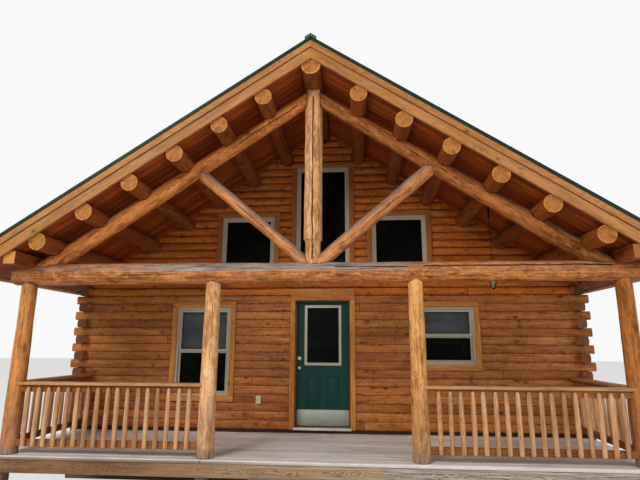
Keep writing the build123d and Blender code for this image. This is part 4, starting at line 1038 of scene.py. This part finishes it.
# Windows: how high their sill is above the deck, their height, and whether they have two sashes
TALL = (0.56, 1.45, True)
SHORT = (1.08, 0.93, True)
GABLE_TALL = (2.685, 1.826, False)
GABLE_SMALL = (2.685, 0.914, False)
WINDOW_X = 2.035
GABLE = [(-1.318, GABLE_SMALL), (0.0, GABLE_TALL), (1.318, GABLE_SMALL)]
SIDE_MIDDLE = (FRONT_Y + BACK_Y) / 2
walls = {
    "front": [(x, FRONT_Y, 0, window) for x, window in [(-WINDOW_X, TALL), (WINDOW_X, SHORT)] + GABLE],
    "back": [(x, BACK_Y, math.pi, window) for x, window in [(-WINDOW_X, TALL), (WINDOW_X, TALL)] + GABLE],
    "side": [(side * SIDE_X, SIDE_MIDDLE + k * 2.7, side * math.pi / 2, TALL)
             for side in (-1, 1) for k in (-1, 0, 1)],
}
patterns = {}
for wall, places in walls.items():
    frames, uprights, levels = [], [], []
    for x, y, turn, window in places:
        sill, height, sashes = window
        spot = Matrix.Translation((x, y, DECK + sill)) @ Matrix.Rotation(turn, 4, "Z")
        if window not in patterns:
            patterns[window] = window_frame(height, sashes)
        frames.append(marked(copy_of(patterns[window], spot)))
        casing(height, spot, uprights, levels)
    keep(smooth(join(frames)), wall + "_sashes", vinyl, "window_plastic", wall + "_window_frames")
    node = wall + "_window_casings"
    keep(smooth(join(uprights)), wall + "_upright_casings", upright_wood, "trim_boards", node)
    level_finish = side_level_wood if wall == "side" else level_wood
    keep(smooth(join(levels)), wall + "_level_casings", level_finish, "trim_boards", node)
discard(*patterns.values())

blinds = []
for x, low, bar in ((-WINDOW_X, 1.33, 0.03), (WINDOW_X, 1.56, 0.0)):
    piece = blind(0.83, DECK + low, DECK + 1.98, bar)
    piece.data.transform(Matrix.Translation((x, FRONT_Y, 0)))
    blinds.append(piece)
keep(smooth(join(blinds), 0.3), "window_blinds", blind_cloth, "window_plastic")

# Door casing, threshold and weather strip
half = DOOR_HALF + 0.005
head = DOOR_FOOT + 2.037
casing_y = FRONT_Y - HAIR
outer = half + 0.082
uprights = [board((left, casing_y - 0.024, WALL_FOOT), (right, casing_y, head), 0.003)
            for left, right in ((-outer, -half), (half, outer))]
keep(smooth(join(uprights)), "door_upright_casings", upright_wood, "door_trim", "door_casing")
head_board = board((-outer, casing_y - 0.024, head + 0.0005), (outer, casing_y, head + 0.193), 0.003)
keep(smooth(head_board), "door_head_casing", level_wood, "door_trim", "door_casing")
nose = board((-0.472, FRONT_Y - 0.056, DECK + 0.046), (0.472, FRONT_Y - 0.0246, DECK + 0.084), 0.006)
tread = board((-0.4617, FRONT_Y - 0.03, DECK + 0.046), (0.4617, FRONT_Y, DECK + 0.0838), 0.002)
keep(smooth(join([nose, tread])), "sill_nosing", sill_metal, "sill_metal", "door_threshold")
STRIP = 0.005
stop = DOOR_FRONT - STRIP
reach = half - 0.0135
strip_top = head - 0.0135
strips = [board((left, stop - 0.012, foot), (right, stop, strip_top), 0.001)
          for left, right, foot in ((-reach, reach, strip_top - STRIP),
                                    (-reach, STRIP - reach, DOOR_FOOT), (reach - STRIP, reach, DOOR_FOOT))]
keep(smooth(join(strips)), "weather_strip", rubber, "window_plastic")

# Door furniture and mouldings, which ride on the door
glass_ring = [frame_ring(0.622, 1.0, 0.032, front, front + 0.009, DECK + 1.053)
              for front in (DOOR_FRONT - 0.009, DOOR_BACK)]
glass_ring += [frame_ring(0.56, 0.938, 0.012, front, front + 0.016, DECK + 1.084, 0.002)
               for front in (DOOR_FRONT - 0.004, DOOR_BACK - 0.012)]
keep(smooth(join(glass_ring)), "door_glass_ring", door_vinyl, "window_plastic", "door_glass_frame",
     body="door")
mouldings = []
for x in (-0.168, 0.168):
    for front, field in ((DOOR_FRONT - 0.003, DOOR_FRONT + 0.002), (DOOR_BACK - 0.0072, DOOR_BACK - 0.0072)):
        panel = [frame_ring(0.237, 0.524, 0.016, front, front + 0.0102, DECK + 0.37),
                 frame_ring(0.189, 0.476, 0.01, front + 0.003, front + 0.0092, DECK + 0.394, 0.002),
                 board((-0.068, field, DECK + 0.42), (0.068, field + 0.0052, DECK + 0.844), 0.002)]
        for piece in panel:
            piece.data.transform(Matrix.Translation((x, 0, 0)))
        mouldings += panel
keep(smooth(join(mouldings)), "door_panel_mouldings", door_paint, "door_paint", body="door")
kick_face = DOOR_FRONT - 0.002
kick_parts = [board((-0.434, kick_face, DOOR_FOOT + 0.005), (0.434, DOOR_FRONT, DOOR_FOOT + 0.253), 0.0009)]
for x in (-0.41, -0.14, 0.14, 0.41):
    for height in (0.025, 0.233):
        screw_head = turned([(0.0, 0.006), (0.0012, 0.0055), (0.002, 0.003)], 10)
        kick_parts.append(stand(screw_head, (x, kick_face, DOOR_FOOT + height), (0, -1, 0)))
keep(smooth(join(kick_parts)), "kick_sheet", kick_metal, "kick_metal", "kick_plate", body="door")
knob_rings = [(0.0, 0.032), (0.004, 0.032), (0.008, 0.027), (0.0085, 0.014), (0.026, 0.0115),
              (0.032, 0.015), (0.038, 0.022), (0.046, 0.0268), (0.054, 0.0262), (0.059, 0.021),
              (0.0618, 0.012), (0.062, 0.004)]
bolt_rings = [(0.0, 0.032), (0.012, 0.031), (0.016, 0.028), (0.0165, 0.014), (0.02, 0.013), (0.02, 0.004)]
furniture = []
for rings, height in ((knob_rings, 1.01), (bolt_rings, 1.168)):
    for face, way in ((DOOR_FRONT, (0, -1, 0)), (DOOR_BACK, (0, 1, 0))):
        furniture.append(stand(turned(rings, 32), (-0.394, face, DECK + height), way))
keep(smooth(join(furniture), 0.5), "door_knob_set", knob_metal, "knob_metal", "door_knobs", body="door")

# Outlet cover: a plate with a hood over each socket
outlet = [board((-1.1, FRONT_Y - 0.01, DECK + 0.434), (-1.012, FRONT_Y - HAIR, DECK + 0.568), 0.003)]
for foot in (DECK + 0.505, DECK + 0.442):
    outlet.append(board((-1.092, FRONT_Y - 0.0263, foot), (-1.02, FRONT_Y - 0.009, foot + 0.055), 0.004))
keep(smooth(join(outlet)), "outlet_hood", outlet_plastic, "window_plastic", "outlet_cover")

# Porch lantern: a stem, a chain, and a tapering body of panels between ribs
lantern_x = (lantern_low.x + lantern_high.x) / 2
lantern_y = (lantern_low.y + lantern_high.y) / 2
cap_top = DECK + 2.45
foot = DECK + 2.2
stem_top = PEAK - SLOPE * lantern_x
stem_foot = stem_top - 0.19
ironwork = [turned([(base + height, radius) for height, radius in rings], sides) for base, sides, rings in (
    (stem_top, 16, ((-0.19, 0.006), (-0.18, 0.013), (-0.02, 0.014), (0.0, 0.014))),
    (cap_top, 8, ((-0.085, 0.066), (-0.08, 0.07), (-0.06, 0.06), (-0.02, 0.022), (-0.012, 0.019),
                  (-0.003, 0.016), (0.0, 0.01))),
    (foot, 8, ((0.0, 0.006), (0.006, 0.01), (0.015, 0.02), (0.026, 0.022), (0.03, 0.018))),
)]
rib_top = cap_top - 0.08
rib_foot = foot + 0.026
for k in range(8):
    angle = (k + 0.5) * math.pi / 4
    way = Vector((math.cos(angle), math.sin(angle), 0))
    lean = way * 0.042 + Vector((0, 0, rib_top - rib_foot))
    rib = turned([(0.0, 0.004), (0.05, 0.0065), (lean.length, 0.0065)], 6)
    ironwork.append(stand(rib, way * 0.02 + Vector((0, 0, rib_foot)), lean))
link = primitive(bpy.ops.mesh.primitive_torus_add, (0.62, 1, 1.35), major_radius=0.015, minor_radius=0.0032,
                 major_segments=12, minor_segments=6, rotation=UPRIGHT)
marked(link)
LINK_STEP = 0.0295
chain_foot = cap_top + 0.012
count = round((stem_foot - cap_top) / LINK_STEP)
for k in range(count):
    height = chain_foot + k * (stem_foot - chain_foot) / (count - 1)
    turn = Matrix.Rotation((k % 2) * math.pi / 2, 4, "Z")
    ironwork.append(copy_of(link, Matrix.Translation((0, 0, height)) @ turn))
discard(link)
ironwork = join(ironwork)
lantern_spot = Matrix.Translation((lantern_x, lantern_y, 0))
ironwork.data.transform(lantern_spot)
keep(smooth(ironwork, 0.5), "lantern_ironwork", lantern_paint, "lantern_metal", "porch_lantern")
panels = turned([(rib_foot, 0.0185), (rib_top, 0.06)], 8)
with editing(panels):
    bpy.ops.mesh.bevel(offset=0.001, segments=1, affect="EDGES")
panels.data.transform(lantern_spot @ Matrix.Rotation(math.pi / 8, 4, "Z"))
keep(marked(panels), "lantern_panels", lantern_panel, "window_plastic", "porch_lantern")


# Camera, lights and floor

def aim(yaw, pitch, roll):
    """A camera's turn from its heading to the left, its rise and its roll, in radians."""
    ahead = Vector((-math.sin(yaw) * math.cos(pitch), math.cos(yaw) * math.cos(pitch), math.sin(pitch)))
    right = Vector((math.cos(yaw), math.sin(yaw), 0))
    up = right.cross(ahead)
    rolled = right * math.cos(roll) + up * math.sin(roll)
    top = up * math.cos(roll) - right * math.sin(roll)
    return Matrix((rolled, top, -ahead)).transposed().to_euler()


SENSOR = 36.0
PHOTO_WIDTH = 640
FOCAL_PIXELS = 481.33
lens = bpy.data.cameras.new("photo_lens")
lens.sensor_width = SENSOR
lens.lens = SENSOR * FOCAL_PIXELS / PHOTO_WIDTH
lens.clip_end = 200
camera = bpy.data.objects.new("photo_camera", lens)
camera.location = (0.5934, TRUSS_Y - 6.3645, DECK + 1.3977)
camera.rotation_euler = aim(0.0782, 0.2135, 0.0038)
bpy.context.scene.collection.objects.link(camera)
bpy.context.scene.camera = camera


def lamp(name, place, target, size, power, colour):
    data = bpy.data.lights.new(name, "AREA")
    data.shape = "DISK"
    data.size = size
    data.energy = power
    data.color = colour
    obj = bpy.data.objects.new(name, data)
    obj.location = place
    obj.rotation_euler = (Vector(target) - Vector(place)).to_track_quat("-Z", "Y").to_euler()
    bpy.context.scene.collection.objects.link(obj)


lamp("key_lamp", (-9, -19, 11), (0, -4, 2.5), 8, 1750, (1.0, 0.97, 0.93))
lamp("fill_lamp", (12, -17, 7), (0, -4, 2), 12, 700, (0.93, 0.96, 1.0))
lamp("back_lamp", (6, 19, 13), (0, 4, 3), 10, 1100, (1.0, 0.98, 0.95))

# The world lights softly, and is plain and pale where it is seen
world = bpy.data.worlds.new("soft_studio")
bpy.context.scene.world = world
sky = Nodes(world)
ambient = sky.node("ShaderNodeBackground", None, {0: (1.0, 0.97, 0.93, 1), 1: 0.4})
backdrop = sky.node("ShaderNodeBackground", None, {0: (0.95, 0.95, 0.95, 1)})
joined = sky.node("ShaderNodeMixShader", None, {0: sky.seen(), 1: ambient, 2: backdrop})
sky.end("ShaderNodeOutputWorld", joined.socket)

floor = primitive(bpy.ops.mesh.primitive_plane_add, size=120)
floor.name = "studio_floor"
paper = Finish("studio_paper", 0.9)
tone = paper.noise(paper.place, 0.3, 2.0)
paper.feed(Base_Color=paper.ramp(tone, (0.3, (0.86, 0.86, 0.85)), (0.7, (0.9, 0.9, 0.89))))
glow = paper.node("ShaderNodeEmission", None, {0: (0.93, 0.93, 0.93, 1)})
lit = Value(paper, paper.shader.outputs[0])
seen_paper = paper.node("ShaderNodeMixShader", None, {0: paper.seen() * 0.6, 1: lit, 2: glow})
paper.tree.links.new(seen_paper.socket, paper.tree.nodes["Material Output"].inputs[0])
dress(floor, paper)

bpy.context.scene.view_settings.view_transform = "Standard"
